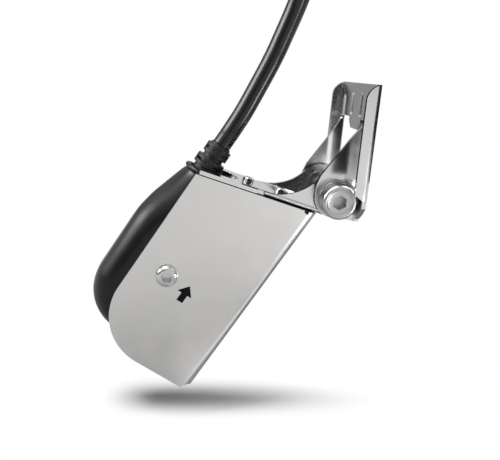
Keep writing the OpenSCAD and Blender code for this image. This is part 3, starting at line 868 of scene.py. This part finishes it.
@dataclass
class Lead(SubAssembly):
    """The lead: its span from the strain relief, its stowed coil and its tail to the plug.

    Attributes:
        length: real length of the lead; not used.
        diameter: its diameter.
        exit_along: forward place of the strain relief's mouth in the raked frame.
        exit_up: its height there.
        coil_up: height of the coil's middle.
        rows: radius of each row of turns, outside first.
        columns: place of each column of turns, front first.
        seam: angle round the coil where the lead joins it, in degrees.
        cross_run: length over which a turn crosses to the next column.
        step_run: length over which a turn steps in to the next row.
        leave: angle of the last turn at which the tail leaves it, in degrees.
        over: angle round the coil by which the tail is clear of its front, in degrees.
        turn_step: angle between points round the coil, in degrees.
        rises: rises of its first points above the strain relief's mouth.
        free: its next points, up to the coil.
        bend_from: a rise above that mouth; not used.
        bend_to: a place on the lead; not used.
        fine: places on its line for each stretch between two points.
        sides: facets round it.
        plug: the plug at its far end.
    """

    plug: "Plug"
    length: float = 5.49
    diameter: float = 9 * MM
    exit_along: float = -55.35 * MM
    exit_up: float = -11.2 * MM
    coil_up: float = 150 * MM
    rows: tuple[float, ...] = (69.5 * MM, 60.5 * MM, 51.5 * MM, 42.5 * MM)
    columns: tuple[float, ...] = (-33 * MM, -24 * MM, -15 * MM, -6 * MM)
    seam: float = 222.7
    cross_run: float = 78 * MM
    step_run: float = 84 * MM
    leave: float = 256
    over: float = -160
    turn_step: float = 8
    rises: tuple[float, ...] = (0.2 * MM, 4.5 * MM, 9 * MM)
    free: tuple[tuple[float, float, float], ...] = (
        (-55.6 * MM, -0.6 * MM, -7.4 * MM), (-49.9 * MM, -1.4 * MM, 4.9 * MM),
        (-45.2 * MM, -2.4 * MM, 15.6 * MM), (-41.4 * MM, -3.6 * MM, 25.7 * MM),
        (-35.6 * MM, -7.4 * MM, 44 * MM), (-33.6 * MM, -13.5 * MM, 58 * MM),
        (-33 * MM, -23.5 * MM, 72 * MM), (-33 * MM, -37 * MM, 87.5 * MM),
    )
    bend_from: float = 2 * MM
    bend_to: tuple[float, float, float] = (-0.0333, -0.019, 0.066)
    fine: int = 8
    sides: int = 24

    def exit(self, rise: float = 0.0) -> Vector:
        """Place on the lead's line, a rise above the strain relief's mouth."""
        return PIVOT.raked() @ Vector((self.exit_along, 0, self.exit_up + rise))

    def span(self) -> np.ndarray:
        """Points from the strain relief up to the coil."""
        return np.concatenate([np.array([self.exit(rise) for rise in self.rises]), np.array(self.free)])

    def places(self) -> list[tuple[float, float]]:
        """Column and row of each turn, wound to and fro from the outside in."""
        found = []
        for row, radius in enumerate(self.rows):
            order = self.columns if row % 2 == 0 else self.columns[::-1]
            found += [(x, radius) for x in order]
        return found

    def crossings(self) -> list[tuple[float, float]]:
        """Arc, in degrees, over which each turn crosses to the next place.

        Each arc starts half-way through the one of the places further in, so that no two turns meet.

        Returns:
            Start and stop of each turn's arc.
        """
        arcs: list[tuple[float, float]] = []
        start = 0.0
        for row in reversed(range(len(self.rows))):
            wide = math.degrees(self.cross_run / self.rows[row])
            arcs = [(start, start + wide)] * (len(self.columns) - 1) + arcs
            start += wide / 2
            if row:
                wide = math.degrees(2 * self.step_run / (self.rows[row] + self.rows[row - 1]))
                arcs.insert(0, (start, start + wide))
                start += wide / 2
        return arcs

    def winding(self) -> np.ndarray:
        """Points round the coil, turn by turn."""
        places, arcs = np.array(self.places()), self.crossings()
        points = []
        for travel in np.arange(0, 360 * (len(arcs) - 1) + self.leave + 1, self.turn_step):
            turn, angle = int(travel // 360), travel % 360
            start, stop = arcs[turn]
            share = eased((angle - start) / (stop - start))
            column, row = places[turn] + share * (places[turn + 1] - places[turn])
            around = math.radians(self.seam - travel)
            points.append((column, row * math.cos(around), self.coil_up + row * math.sin(around)))
        return np.array(points)

    def tail(self) -> np.ndarray:
        """Points from the last turn, round over the coil's front, and up into the plug."""
        out, side, top = self.plug.root
        first, upright = self.seam - self.leave, -180
        turns = np.arange(first - self.turn_step, upright, -self.turn_step)
        share = eased((first - turns) / (first - self.over))
        ring = self.rows[-1] + share * (abs(side) - self.rows[-1])
        around = np.radians(turns)
        front = np.stack([self.columns[0] + share * (out - self.columns[0]), ring * np.cos(around),
                          self.coil_up + ring * np.sin(around)], 1)
        rise = [(out, side, height) for height in np.linspace(front[-1, 2], top, 4)[1:]]
        return np.concatenate([front, np.array(rise)])

    def build(self) -> None:
        span, winding, tail = self.span(), self.winding(), self.tail()
        line = smooth_route(np.concatenate([span, winding, tail]), self.fine)
        start, stop = self.fine * len(span), self.fine * (len(span) + len(winding))
        line = np.concatenate([line[:start], line[start:stop:self.fine // 2], line[stop:]])
        lead = tube("lead", line, self.diameter / 2, self.sides)
        lead.data.materials.append(CABLE_JACKET.material())
        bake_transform(lead)
        self.name_slot(lead, "cable", "cable_coil", "cable_tail")
        self.pieces.append(lead)


@dataclass
class CoilTies(SubAssembly):
    """Three nylon ties round the coil's bundle.

    Attributes:
        middle: middle of the coil.
        ring: mean radius of the coil.
        half: half the bundle's thickness.
        thick: thickness of a tie.
        wide: width of a tie.
        corner: radius at the bundle's corners.
        corner_steps: stretches round each corner.
        places: angles round the coil, in degrees from its top.
        head_side: how far a locking head stands past its tie's sides.
        head_half: half the head's length along the coil's radius.
        head_layers: depth of each layer of the head, and its share of the head's width.
        edge: width of the broken edges.
    """

    middle: tuple[float, float, float] = (-19.5 * MM, 0, 150 * MM)
    ring: float = 56 * MM
    half: float = 18 * MM
    thick: float = 1.2 * MM
    wide: float = 7 * MM
    corner: float = 8 * MM
    corner_steps: int = 6
    places: tuple[float, ...] = (0, 120, 240)
    head_side: float = 0.8 * MM
    head_half: float = 4 * MM
    head_layers: tuple[tuple[float, float], ...] = ((-0.4 * MM, 1), (3.2 * MM, 1), (4 * MM, 0.8))
    edge: float = 0.25 * MM

    def band(self) -> tuple[list[tuple], list[list[int]]]:
        """Points and faces of one tie, round the x and z axes of its own frame."""
        flat = self.half - self.corner
        line = []
        for quarter, (sx, sz) in enumerate(((1, 1), (-1, 1), (-1, -1), (1, -1))):
            for part in range(self.corner_steps + 1):
                angle = math.radians(90 * quarter + 90 / self.corner_steps * part)
                line.append((sx * flat, sz * flat, math.cos(angle), math.sin(angle)))
        points = []
        for x, z, out_x, out_z in line:
            for reach, side in ((0, -1), (0, 1), (self.thick, 1), (self.thick, -1)):
                points.append((x + out_x * (self.corner + reach), side * self.wide / 2,
                               z + out_z * (self.corner + reach)))
        count = len(line)
        faces = [[i * 4 + k, i * 4 + (k + 1) % 4, (i + 1) % count * 4 + (k + 1) % 4,
                  (i + 1) % count * 4 + k] for i in range(count) for k in range(4)]
        return points, faces

    def head(self, start: int) -> tuple[list[tuple], list[list[int]]]:
        """Points and faces of a tie's locking head, on the bundle's front.

        Args:
            start: number of its first point.

        Returns:
            The points and the faces.
        """
        front = -self.half - self.thick
        points = [(front - deep, side * (self.wide / 2 + self.head_side) * share, end * self.head_half)
                  for deep, share in self.head_layers
                  for side, end in ((-1, -1), (1, -1), (1, 1), (-1, 1))]
        rings = [[start + 4 * i + k for k in range(4)] for i in range(len(self.head_layers))]
        faces = [rings[0][::-1], rings[-1]]
        faces += [[low[k], low[(k + 1) % 4], high[(k + 1) % 4], high[k]]
                  for low, high in zip(rings, rings[1:]) for k in range(4)]
        return points, faces

    def build(self) -> None:
        """Makes the ties as one piece."""
        points, faces = [], []
        for place in self.places:
            at = Matrix.Translation(self.middle) @ Matrix.Rotation(math.radians(place), 4, "X")
            at = at @ Matrix.Translation((0, 0, self.ring))
            band, skin = self.band()
            head, cap = self.head(len(band))
            faces += [[n + len(points) for n in f] for f in skin + cap]
            points += [tuple(at @ Vector(p)) for p in band + head]
        ties = link("ties", meshed("ties", np.array(points), faces))
        self.keep(break_edges(ties, self.edge), TIE_STRAP, Body.BRACKET, "coil_ties")


@dataclass
class Plug(SubAssembly):
    """The plug at the lead's far end, pointing up.

    Attributes:
        root: where the lead enters the boot.
        bore: radius of the hole for the lead.
        boot_long: length of the boot.
        boot_r: radius of the boot's thin end.
        boot_grow: how much thicker its other end is.
        ribs: ribs on the boot.
        rib_deep: depth of the ribs.
        shell_long: length of the shell.
        shell_r: radius of the shell.
        groove_deep: depth of the shell's grip grooves.
        groove_step: distance between them.
        corner: width of the shell's cut corners.
        crease: the sharpness, in degrees, from which the shell's edges stay sharp.
        ring_edge: width of the coupling ring's broken edges.
        pin_edge: width of the broken edges of the contacts.
        disc_top: height of the contact disc above the root.
        pin_from: height above the disc from which a contact is brass.
    """

    root: tuple[float, float, float] = (-48 * MM, -43 * MM, 166 * MM)
    bore: float = 4.6 * MM
    boot_long: float = 12 * MM
    boot_r: float = 5.2 * MM
    boot_grow: float = 2.3 * MM
    ribs: int = 5
    rib_deep: float = 0.7 * MM
    shell_long: float = 10 * MM
    shell_r: float = 8.6 * MM
    groove_deep: float = 0.5 * MM
    groove_step: float = 2.6 * MM
    corner: float = 0.3 * MM
    crease: float = 40
    ring_edge: float = 0.3 * MM
    pin_edge: float = 0.1 * MM
    disc_top: float = 28 * MM
    pin_from: float = 0.1 * MM

    def boot_outline(self) -> list[tuple[float, float]]:
        """Ribbed taper of the boot."""
        steps = 8 * self.ribs
        outline = [(self.bore, 0.0)]
        for step in range(steps + 1):
            share = step / steps
            wave = 0.5 - 0.5 * math.cos(math.tau * self.ribs * share)
            radius = self.boot_r + self.boot_grow * share - self.rib_deep * wave
            outline.append((radius, share * self.boot_long))
        return outline + [(self.bore, self.boot_long)]

    def shell_outline(self) -> list[tuple[float, float]]:
        """Shell with a rounded shoulder and two grip grooves."""
        r, long, cut = self.shell_r, self.shell_long, self.corner
        bed = r - self.groove_deep
        shoulder = [(self.bore, 0), (r - 1.0 * MM, 0), (r - cut, cut), (r, 1.0 * MM)]
        groove = [(r, 3.0 * MM), (bed, 3.3 * MM), (bed, 4.1 * MM), (r, 4.4 * MM)]
        second = [(radius, height + self.groove_step) for radius, height in groove]
        return shoulder + groove + second + [(r, long - cut), (r - cut, long), (self.bore, long)]

    def build(self) -> None:
        """Makes the boot, shell, coupling ring and contacts."""
        at = Matrix.Translation(self.root)
        boot = lathe("boot_ribbed", self.boot_outline(), at)
        self.keep(boot, RELIEF_RUBBER, Body.BRACKET, "plug_boot")
        at = at @ Matrix.Translation((0, 0, self.boot_long))
        shell = lathe("shell_grooved", self.shell_outline(), at)
        shell.data.set_sharp_from_angle(angle=math.radians(self.crease))
        self.keep(shell, PLUG_PLASTIC, Body.BRACKET, "plug_shell")
        self.finish_copy("plug_ring", GREY_NYLON, Body.BRACKET, self.ring_edge)
        contacts = self.finish_copy("plug_insert", BLACK_NYLON, Body.BRACKET, self.pin_edge)
        contacts.data.materials.append(INSERT_BRASS.material())
        top = self.root[2] + self.disc_top + self.pin_from
        for face in contacts.data.polygons:
            if face.center.z > top:
                face.material_index = 1


@dataclass
class TransomBracket(SubAssembly):
    """The folded, slotted bracket.

    Attributes:
        edge: width of its broken edges.
    """

    edge: float = 0.25 * MM

    def build(self) -> None:
        """Makes the bracket."""
        self.finish_copy("transom_bracket", BRACKET_STEEL, Body.BRACKET, self.edge)


@dataclass
class PivotJoint(SubAssembly):
    """Bolt, nut, washers and sleeve of the kick-up pivot.

    Attributes:
        edge: width of the broken edges.
        seat: mid-plane to the underside of the bolt's head.
        head_r: radius of the head.
        head_high: height of the head.
        rim: radius of the head's rounded rim.
        dish: places in the head's dish, in from its rim and down from its top.
        under: width of the cut corner under the head.
        socket: width of the hex socket across its flats.
        socket_deep: depth of the socket.
        bolt_r: radius of the bolt.
        tip: mid-plane to the bolt's tip.
        tip_cut: width and height of the tip's cut corner.
    """

    edge: float = 0.2 * MM
    seat: float = 19.8 * MM
    head_r: float = 8 * MM
    head_high: float = 9 * MM
    rim: float = 1.6 * MM
    dish: tuple[tuple[float, float], ...] = (
        (1 * MM, 0.6 * MM), (0.7 * MM, 0.5 * MM), (0.3 * MM, 0.15 * MM))
    under: float = 0.4 * MM
    socket: float = 6 * MM
    socket_deep: float = 5 * MM
    bolt_r: float = 5 * MM
    tip: float = 29.8 * MM
    tip_cut: tuple[float, float] = (0.9 * MM, 1 * MM)

    def bolt_outline(self) -> list[tuple[float, float]]:
        """Dished head with a rounded rim, and the shank."""
        top = self.seat + self.head_high
        flat = self.head_r - self.rim
        dish = [(flat - inward, top - down) for inward, down in self.dish]
        under = [(self.head_r, self.seat + self.under), (self.head_r - self.under, self.seat)]
        wide, high = self.tip_cut
        shank = [(self.bolt_r, self.seat), (self.bolt_r, high - self.tip), (self.bolt_r - wide, -self.tip)]
        return dish + arc(self.rim, (flat, top - self.rim)) + under + shank

    def build(self) -> None:
        """Makes the pivot's pieces."""
        at = Matrix.Translation(PIVOT.centre) @ Matrix.Rotation(math.radians(90), 4, "X")
        floor = self.seat + self.head_high - self.socket_deep
        bolt = socket_head("bolt_socketed", self.bolt_outline(), self.socket, floor, at)
        self.keep(bolt, BOLT_STEEL, Body.BRACKET, "pivot_bolt")
        self.finish_copy("pivot_nut", BOLT_STEEL, Body.BRACKET, self.edge)
        self.finish_smooth("bolt_washers", BOLT_STEEL, Body.BRACKET)
        self.finish_copy("friction_washers", BLACK_NYLON, Body.TRANSDUCER, self.edge)
        self.finish_copy("pivot_sleeve", SCREW_STEEL, Body.TRANSDUCER, self.edge)


@dataclass
class PivotArm(SubAssembly):
    """The eared arm and the screws through its web.

    Attributes:
        edge: width of the arm's broken edges.
    """

    edge: float = 0.25 * MM

    def build(self) -> None:
        """Makes the arm and its screws."""
        self.finish_copy("pivot_arm", ARM_STEEL, Body.TRANSDUCER, self.edge)
        self.finish_smooth("arm_screws", SCREW_STEEL, Body.TRANSDUCER)
        self.finish_node("arm_inserts", INSERT_BRASS)


@dataclass
class Guard(SubAssembly):
    """The folded guard, its cheek screws and the arrow printed on the near cheek.

    Attributes:
        cheek: mid-plane to the cheek's outer face.
        film: thickness of the printed ink.
        button_at: place of the cheek screws in the raked frame.
        button_r: radius of their heads.
        button_high: height of their heads.
        button_rim: radius of their rounded rims.
        button_flats: width of their hex sockets across the flats.
        button_floor: height of the sockets' floors above the cheek.
        shank_r: radius of their shanks.
        shank_long: length of their shanks.
        mark_at: place of the arrow's middle in the arm's frame.
        mark_high: height of the arrow.
        mark_shares: half widths of its head and stem, and height of its neck, in shares of half its height.
    """

    cheek: float = 15.4 * MM
    film: float = 0.04 * MM
    button_at: tuple[float, float] = (-43.5 * MM, -75.2 * MM)
    button_r: float = 5.25 * MM
    button_high: float = 3.3 * MM
    button_rim: float = 2 * MM
    button_flats: float = 5 * MM
    button_floor: float = -0.4 * MM
    shank_r: float = 3 * MM
    shank_long: float = 8.6 * MM
    mark_at: tuple[float, float] = (-51.1 * MM, -67.2 * MM)
    mark_high: float = 9.2 * MM
    mark_shares: tuple[float, float, float] = (0.85, 0.36, -0.05)

    def button(self, name: str, turn: float) -> bpy.types.Object:
        """Makes one cheek screw.

        Args:
            name: its name.
            turn: turn about x, in degrees, from pointing up to pointing out of its cheek.

        Returns:
            The screw.
        """
        side = -math.copysign(self.cheek, turn)
        at = PIVOT.raked() @ Matrix.Translation((self.button_at[0], side, self.button_at[1]))
        at = at @ Matrix.Rotation(math.radians(turn), 4, "X")
        flat = self.button_r - self.button_rim
        outline = arc(self.button_rim, (flat, self.button_high - self.button_rim))
        outline += [(self.button_r, 0), (self.shank_r, 0), (self.shank_r, -self.shank_long)]
        return socket_head(name, outline, self.button_flats, self.button_floor, at)

    def arrow(self) -> list[tuple[float, float]]:
        """Outline of a plain upright arrow, about its middle."""
        half = self.mark_high / 2
        wing, stem, neck = (share * half for share in self.mark_shares)
        return [(0, half), (wing, neck), (stem, neck), (stem, -half), (-stem, -half), (-stem, neck),
                (-wing, neck)]

    def build(self) -> None:
        """Makes the guard, its screws and its mark."""
        guard = self.finish_smooth("guard_shield", GUARD_STEEL, Body.TRANSDUCER)
        guard.modifiers.new("flat_faces", "WEIGHTED_NORMAL").keep_sharp = True
        self.keep(joined("button_screws", [self.button("near_button", 90), self.button("far_button", -90)]),
                  SCREW_STEEL, Body.TRANSDUCER, "guard_screws")
        self.finish_node("guard_inserts", INSERT_BRASS)
        at = PIVOT.arm() @ Matrix.Translation((self.mark_at[0], -self.cheek, self.mark_at[1]))
        at = at @ Matrix.Rotation(math.radians(PIVOT.rake), 4, "Y")
        self.keep(cut_sheet("printed_arrow", self.arrow(), self.film, at), MARK_INK, Body.TRANSDUCER)


@dataclass
class Pod(SubAssembly):
    """The moulded pod, its window and what it holds.

    Attributes:
        grid: spacing of the smooth skin's points.
        pull: share of the way to its neighbours' mean that a point moves in one round.
        rounds: smoothing rounds over the whole skin.
        blend_at: middle of the blend between neck and shoulder, in the raked frame.
        blend_reach: distances from it between which the blend fades out.
        blend_rounds: smoothing rounds of the blend.
        neck_at: place of the neck's rim on its axis, in the raked frame.
        neck_r: radius of that rim.
        rim_r: radius of the rim's own round.
        rim_turns: angles round the neck between which the rim runs, in degrees.
        rim_steps: stretches along the rim.
        rim_sides: facets round it.
    """

    grid: float = 0.8 * MM
    pull: float = 0.5
    rounds: int = 6
    blend_at: tuple[float, float] = (-64 * MM, -41 * MM)
    blend_reach: tuple[float, float] = (12 * MM, 24 * MM)
    blend_rounds: int = 90
    neck_at: tuple[float, float] = (-55.35 * MM, -27.2 * MM)
    neck_r: float = 8.3 * MM
    rim_r: float = 1.1 * MM
    rim_turns: tuple[float, float] = (100, 260)
    rim_steps: int = 40
    rim_sides: int = 14

    def neck_rim(self) -> bpy.types.Object:
        """Raised rim round the back of the neck's top."""
        along, up = self.neck_at
        turns = np.radians(np.linspace(*self.rim_turns, self.rim_steps + 1))
        line = [PIVOT.raked() @ Vector((along + self.neck_r * math.cos(t), self.neck_r * math.sin(t), up))
                for t in turns]
        return tube("pod_neck_rim", np.array(line), self.rim_r, self.rim_sides)

    def smooth_skin(self) -> bpy.types.Mesh:
        """Remeshes the housing into one even skin and smooths it.

        Returns:
            The skin.
        """
        rough = link("pod_rough", bare_copy("pod_housing"))
        remesh = rough.modifiers.new("even_skin", "REMESH")
        remesh.mode = "VOXEL"
        remesh.voxel_size = self.grid
        graph = bpy.context.evaluated_depsgraph_get()
        skin = bpy.data.meshes.new_from_object(rough.evaluated_get(graph))
        bpy.data.objects.remove(rough)
        points = np.empty(len(skin.vertices) * 3)
        skin.vertices.foreach_get("co", points)
        points = points.reshape(-1, 3)
        edges = np.empty(len(skin.edges) * 2, int)
        skin.edges.foreach_get("vertices", edges)
        edges = edges.reshape(-1, 2)
        for _ in range(self.rounds):
            points = points + self.pull * (self.neighbour_mean(points, edges) - points)
        share = self.pull * self.blend_share(points)[:, None]
        for _ in range(self.blend_rounds):
            points = points + share * (self.neighbour_mean(points, edges) - points)
        skin.vertices.foreach_set("co", points.ravel())
        skin.shade_smooth()
        skin.update()
        return skin

    def blend_share(self, points: np.ndarray) -> np.ndarray:
        """How much of the blend each point takes.

        Args:
            points: the points.

        Returns:
            1 in the middle of the blend, and 0 outside it.
        """
        local = np.array(PIVOT.raked().inverted())
        along = points @ local[0, :3] + local[0, 3] - self.blend_at[0]
        up = points @ local[2, :3] + local[2, 3] - self.blend_at[1]
        start, stop = self.blend_reach
        share = np.clip((stop - np.hypot(along, up)) / (stop - start), 0, 1)
        return share * share * (3 - 2 * share)

    @staticmethod
    def neighbour_mean(points: np.ndarray, edges: np.ndarray) -> np.ndarray:
        """Mean of each point's neighbours.

        Args:
            points: the points.
            edges: pairs of point numbers.

        Returns:
            One mean for each point.
        """
        one, two = edges[:, 0], edges[:, 1]
        count = np.bincount(edges.ravel(), minlength=len(points))
        total = np.stack([np.bincount(one, points[two, axis], len(points))
                          + np.bincount(two, points[one, axis], len(points)) for axis in range(3)], 1)
        return total / count[:, None]

    def build(self) -> None:
        """Makes the pod's skin and finishes what it holds."""
        self.keep(link("pod_skin", self.smooth_skin()), POD_PLASTIC, Body.TRANSDUCER, "pod_housing")
        self.keep(self.neck_rim(), POD_PLASTIC, Body.TRANSDUCER)
        for node, finish in (("acoustic_window", WINDOW_PLASTIC), ("piezo_elements", PIEZO_CERAMIC),
                             ("backing_block", BACKING_CORK), ("signal_board", BOARD_LAMINATE),
                             ("board_chips", CHIP_PLASTIC), ("potting", POTTING_RESIN),
                             ("core_leads", LEAD_JACKET)):
            self.finish_node(node, finish)


@dataclass
class StrainRelief(SubAssembly):
    """The slit rubber sleeve where the lead leaves the pod.

    Attributes:
        edge: width of its rounded edges.
    """

    edge: float = 0.2 * MM

    def build(self) -> None:
        """Makes the sleeve."""
        self.finish_copy("strain_relief", RELIEF_RUBBER, Body.TRANSDUCER, self.edge, full=True)


@dataclass(frozen=True)
class PhotoCamera:
    """Camera at the photograph's angle.

    Attributes:
        place: where it stands.
        right: its right hand.
        up: its upward direction.
        ahead: the way that it looks.
        lens: focal length, in millimetres on the sensor.
        sensor: width of the sensor, in millimetres.
        near: distance from which it sees.
    """

    place: tuple[float, float, float] = (-83.441 * MM, -286.562 * MM, 10.646 * MM)
    right: tuple[float, float, float] = (0.99156, -0.10084, 0.08143)
    up: tuple[float, float, float] = (-0.05254, 0.26162, 0.96374)
    ahead: tuple[float, float, float] = (0.11849, 0.95989, -0.25412)
    lens: float = 43.2
    sensor: float = 36.0
    near: float = 5 * MM

    def build(self) -> None:
        """Makes the camera and hands it to the scene."""
        data = bpy.data.cameras.new("photo_camera")
        data.lens = self.lens
        data.sensor_width = self.sensor
        data.clip_start = self.near
        camera = bpy.data.objects.new("photo_camera", data)
        turn = Matrix((self.right, self.up, [-c for c in self.ahead])).transposed().to_4x4()
        camera.matrix_world = Matrix.Translation(self.place) @ turn
        bpy.context.scene.collection.objects.link(camera)
        bpy.context.scene.camera = camera


@dataclass(frozen=True)
class Softbox:
    """One soft lamp.

    Attributes:
        name: its name.
        place: where it hangs.
        size: its width and height.
        watts: its power.
        on_matt: whether it also lights matt surfaces, or only shows in mirrors.
    """

    name: str
    place: tuple[float, float, float]
    size: tuple[float, float]
    watts: float
    on_matt: bool = True


@dataclass(frozen=True)
class Flag:
    """A panel that only reflections see, as a studio's flag.

    Attributes:
        name: its name.
        place: where it stands.
        size: its width and height.
        grey: how light it looks.
        faces: what it faces, if not the subject.
    """

    name: str
    place: tuple[float, float, float]
    size: tuple[float, float]
    grey: float
    faces: tuple[float, float, float] | None = None


@dataclass
class Studio:
    """White floor and background, soft lamps and the flags that shape the steel's reflections.

    Attributes:
        floor_z: height of the floor.
        floor_half: half the floor's width.
        subject: what lamps and flags face.
        lit: share of the floor's white that comes from the lamps, where the shadow lies.
        shade_at: middle of the shadow on the floor.
        shade_deep: how many times wider than deep the shadow's ground is.
        fade: distances from that middle between which the floor turns plain white.
        foot: place on the floor from which mirrors see it grow lighter; its painted reflection is darkest
            there, as painted shade.
        painted_reflection_levels: level of the floor's painted reflection in mirrors, at that place and far
            from it.
        reach: distance over which it grows lighter.
        glow: level of the world's light.
        mirror: level of the world in mirrors, at the horizon and high up.
        high_up: upward part of the direction from which that counts as high up.
        lamps: the lamps.
        flags: the flags.
    """

    floor_z: float = -165.5 * MM
    floor_half: float = 12.0
    subject: tuple[float, float, float] = (-45 * MM, 0, -60 * MM)
    lit: float = 0.92
    shade_at: tuple[float, float] = (-0.076, 0.012)
    shade_deep: float = 4.8
    fade: tuple[float, float] = (0.01, 0.115)
    foot: tuple[float, float] = (0.06, 0.03)
    painted_reflection_levels: tuple[float, float] = (0.2, 1.0)
    reach: float = 0.45
    glow: float = 0.1
    mirror: tuple[float, float] = (0.7, 0.95)
    high_up: float = 0.7
    lamps: tuple[Softbox, ...] = (
        Softbox("overhead_soft", (-0.25, -0.1, 0.5), (0.28, 0.28), 5.3),
        Softbox("left_soft", (-0.8, -0.05, 0.25), (0.5, 0.2), 5.0, False),
        Softbox("right_strip", (0.17, -0.2, -0.13), (0.06, 0.06), 0.25, False),
    )
    flags: tuple[Flag, ...] = (
        Flag("left_flag", (-0.9, -0.4, -0.08), (1.2, 0.36), 0.01),
        Flag("front_left_flag", (-0.42, -0.95, -0.03), (0.55, 0.3), 0.02),
        Flag("back_left_flag", (-0.6, 1.1, 0.1), (1.0, 0.6), 0.35),
        Flag("right_flag", (0.9, 0.05, -0.03), (1.6, 0.3), 0.02),
        Flag("fold_gleam", (0.11, -0.12, -0.16), (0.2, 0.06), 1.6),
        Flag("floor_gleam", (-0.005, -0.0625, -0.1645), (0.14, 0.045), 1.2, (-0.005, -0.0625, 1.0)),
        # Dark panels inside the bracket and between the arm's ears: painted shade in the reflections of the
        # flange, lug, ears and sleeve.
        Flag("flange_shade_flag", (-0.0002, -0.0297, 0.0125), (0.0246, 0.091), 0.02, (-0.0002, 0.1, 0.0125)),
        Flag("ear_shade_flag", (-0.034, -0.0115, -0.036), (0.042, 0.034), 0.02, (-0.034, 0.1, -0.036)),
    )

    def facing(self, place: tuple[float, float, float],
               target: tuple[float, float, float] | None = None) -> Matrix:
        """Frame at a place whose -z looks at a target, or else at the subject."""
        look = Vector(target or self.subject) - Vector(place)
        return Matrix.Translation(place) @ look.to_track_quat("-Z", "Y").to_matrix().to_4x4()

    def make_world(self) -> None:
        """White to look at, graded in mirrors and dim as light."""
        world = bpy.data.worlds.new("white_room")
        bpy.context.scene.world = world
        room = Shader(world.name, world)
        height = room.step("SeparateXYZ", {0: room.bearing}, out="Z")
        graded = room.step("MapRange", {"Value": height, "From Min": 0.0, "From Max": self.high_up,
                                        "To Min": self.mirror[0], "To Max": self.mirror[1]})
        level = room.by_ray(seen=1.0, mirrored=graded, light=self.glow)
        back = world.node_tree.nodes["Background"]
        room.feed(back.inputs["Color"], (1, 1, 1, 1))
        room.feed(back.inputs["Strength"], level)

    def floor_material(self) -> bpy.types.Material:
        """White that keeps the shadow near the subject and turns plain white further off."""
        shader = Shader("white_floor")
        near = shader.falloff((*self.shade_at, self.floor_z), *self.fade, 1.0, 0.0, (1, self.shade_deep, 1))
        # Painted reflection: mirrors see the floor glow, darker round foot as painted shade and lighter
        # further off.
        lighter = shader.falloff((*self.foot, self.floor_z), 0.0, self.reach, *self.painted_reflection_levels)
        keep = shader.step("Math", {0: near, 1: -self.lit, 2: 1.0}, operation="MULTIPLY_ADD")
        glow = shader.step("Emission", {"Color": (1, 1, 1, 1),
                                        "Strength": shader.by_ray(seen=keep, mirrored=lighter, light=0.0)})
        share = shader.step("Math", {0: near, 1: self.lit}, operation="MULTIPLY")
        share = shader.by_ray(seen=share, mirrored=0.0, light=share)
        paint = shader.step("CombineColor", {"Red": share, "Green": share, "Blue": share})
        matt = shader.step("BsdfDiffuse", {"Color": paint})
        shader.show(shader.step("AddShader", {0: glow, 1: matt}))
        return shader.material

    @staticmethod
    def panel(name: str, wide: float, high: float, level: float = 0.0) -> bpy.types.Object:
        """Makes a flat panel, square to z.

        Args:
            name: its name.
            wide: half its width.
            high: half its height.
            level: its place along z.

        Returns:
            The panel.
        """
        corners = [(-wide, -high, level), (wide, -high, level), (wide, high, level), (-wide, high, level)]
        return link(name, meshed(name, np.array(corners), [[0, 1, 2, 3]]))

    def make_floor(self) -> None:
        """The floor, large enough to reach the horizon."""
        floor = self.panel("floor", self.floor_half, self.floor_half, self.floor_z)
        floor.data.materials.append(self.floor_material())

    def make_lamp(self, lamp: Softbox) -> None:
        """Hangs one softbox, facing the subject."""
        data = bpy.data.lights.new(lamp.name, "AREA")
        data.shape = "RECTANGLE"
        data.size, data.size_y = lamp.size
        data.energy = lamp.watts
        box = bpy.data.objects.new(lamp.name, data)
        box.matrix_world = self.facing(lamp.place)
        box.visible_diffuse = lamp.on_matt
        bpy.context.scene.collection.objects.link(box)

    def make_flag(self, flag: Flag) -> None:
        """Stands one flag, facing the subject and hidden from all but reflections."""
        panel = self.panel(flag.name, flag.size[0] / 2, flag.size[1] / 2)
        panel.matrix_world = self.facing(flag.place, flag.faces)
        shader = Shader(flag.name + "_cloth")
        shader.show(shader.step("Emission", {"Color": (1, 1, 1, 1), "Strength": flag.grey}))
        panel.data.materials.append(shader.material)
        panel.visible_camera = False
        panel.visible_diffuse = False
        panel.visible_shadow = False
        panel.visible_transmission = False

    def build(self) -> None:
        """Makes the room."""
        self.make_world()
        self.make_floor()
        for lamp in self.lamps:
            self.make_lamp(lamp)
        for flag in self.flags:
            self.make_flag(flag)


def main() -> None:
    """Builds the camera, the room and each sub-assembly, and reports each piece."""
    logging.basicConfig(level=logging.INFO, format="%(name)s: %(message)s")
    bpy.context.scene.view_settings.view_transform = "Standard"
    PhotoCamera().build()
    Studio().build()
    plug = Plug()
    for assembly in (plug, Lead(plug), CoilTies(), TransomBracket(), PivotJoint(), PivotArm(), Guard(),
                     Pod(), StrainRelief()):
        assembly.build()
        for piece in assembly.pieces:
            LOG.info("%s: %s", type(assembly).__name__, piece.name)


if __name__ == "__main__":
    main()
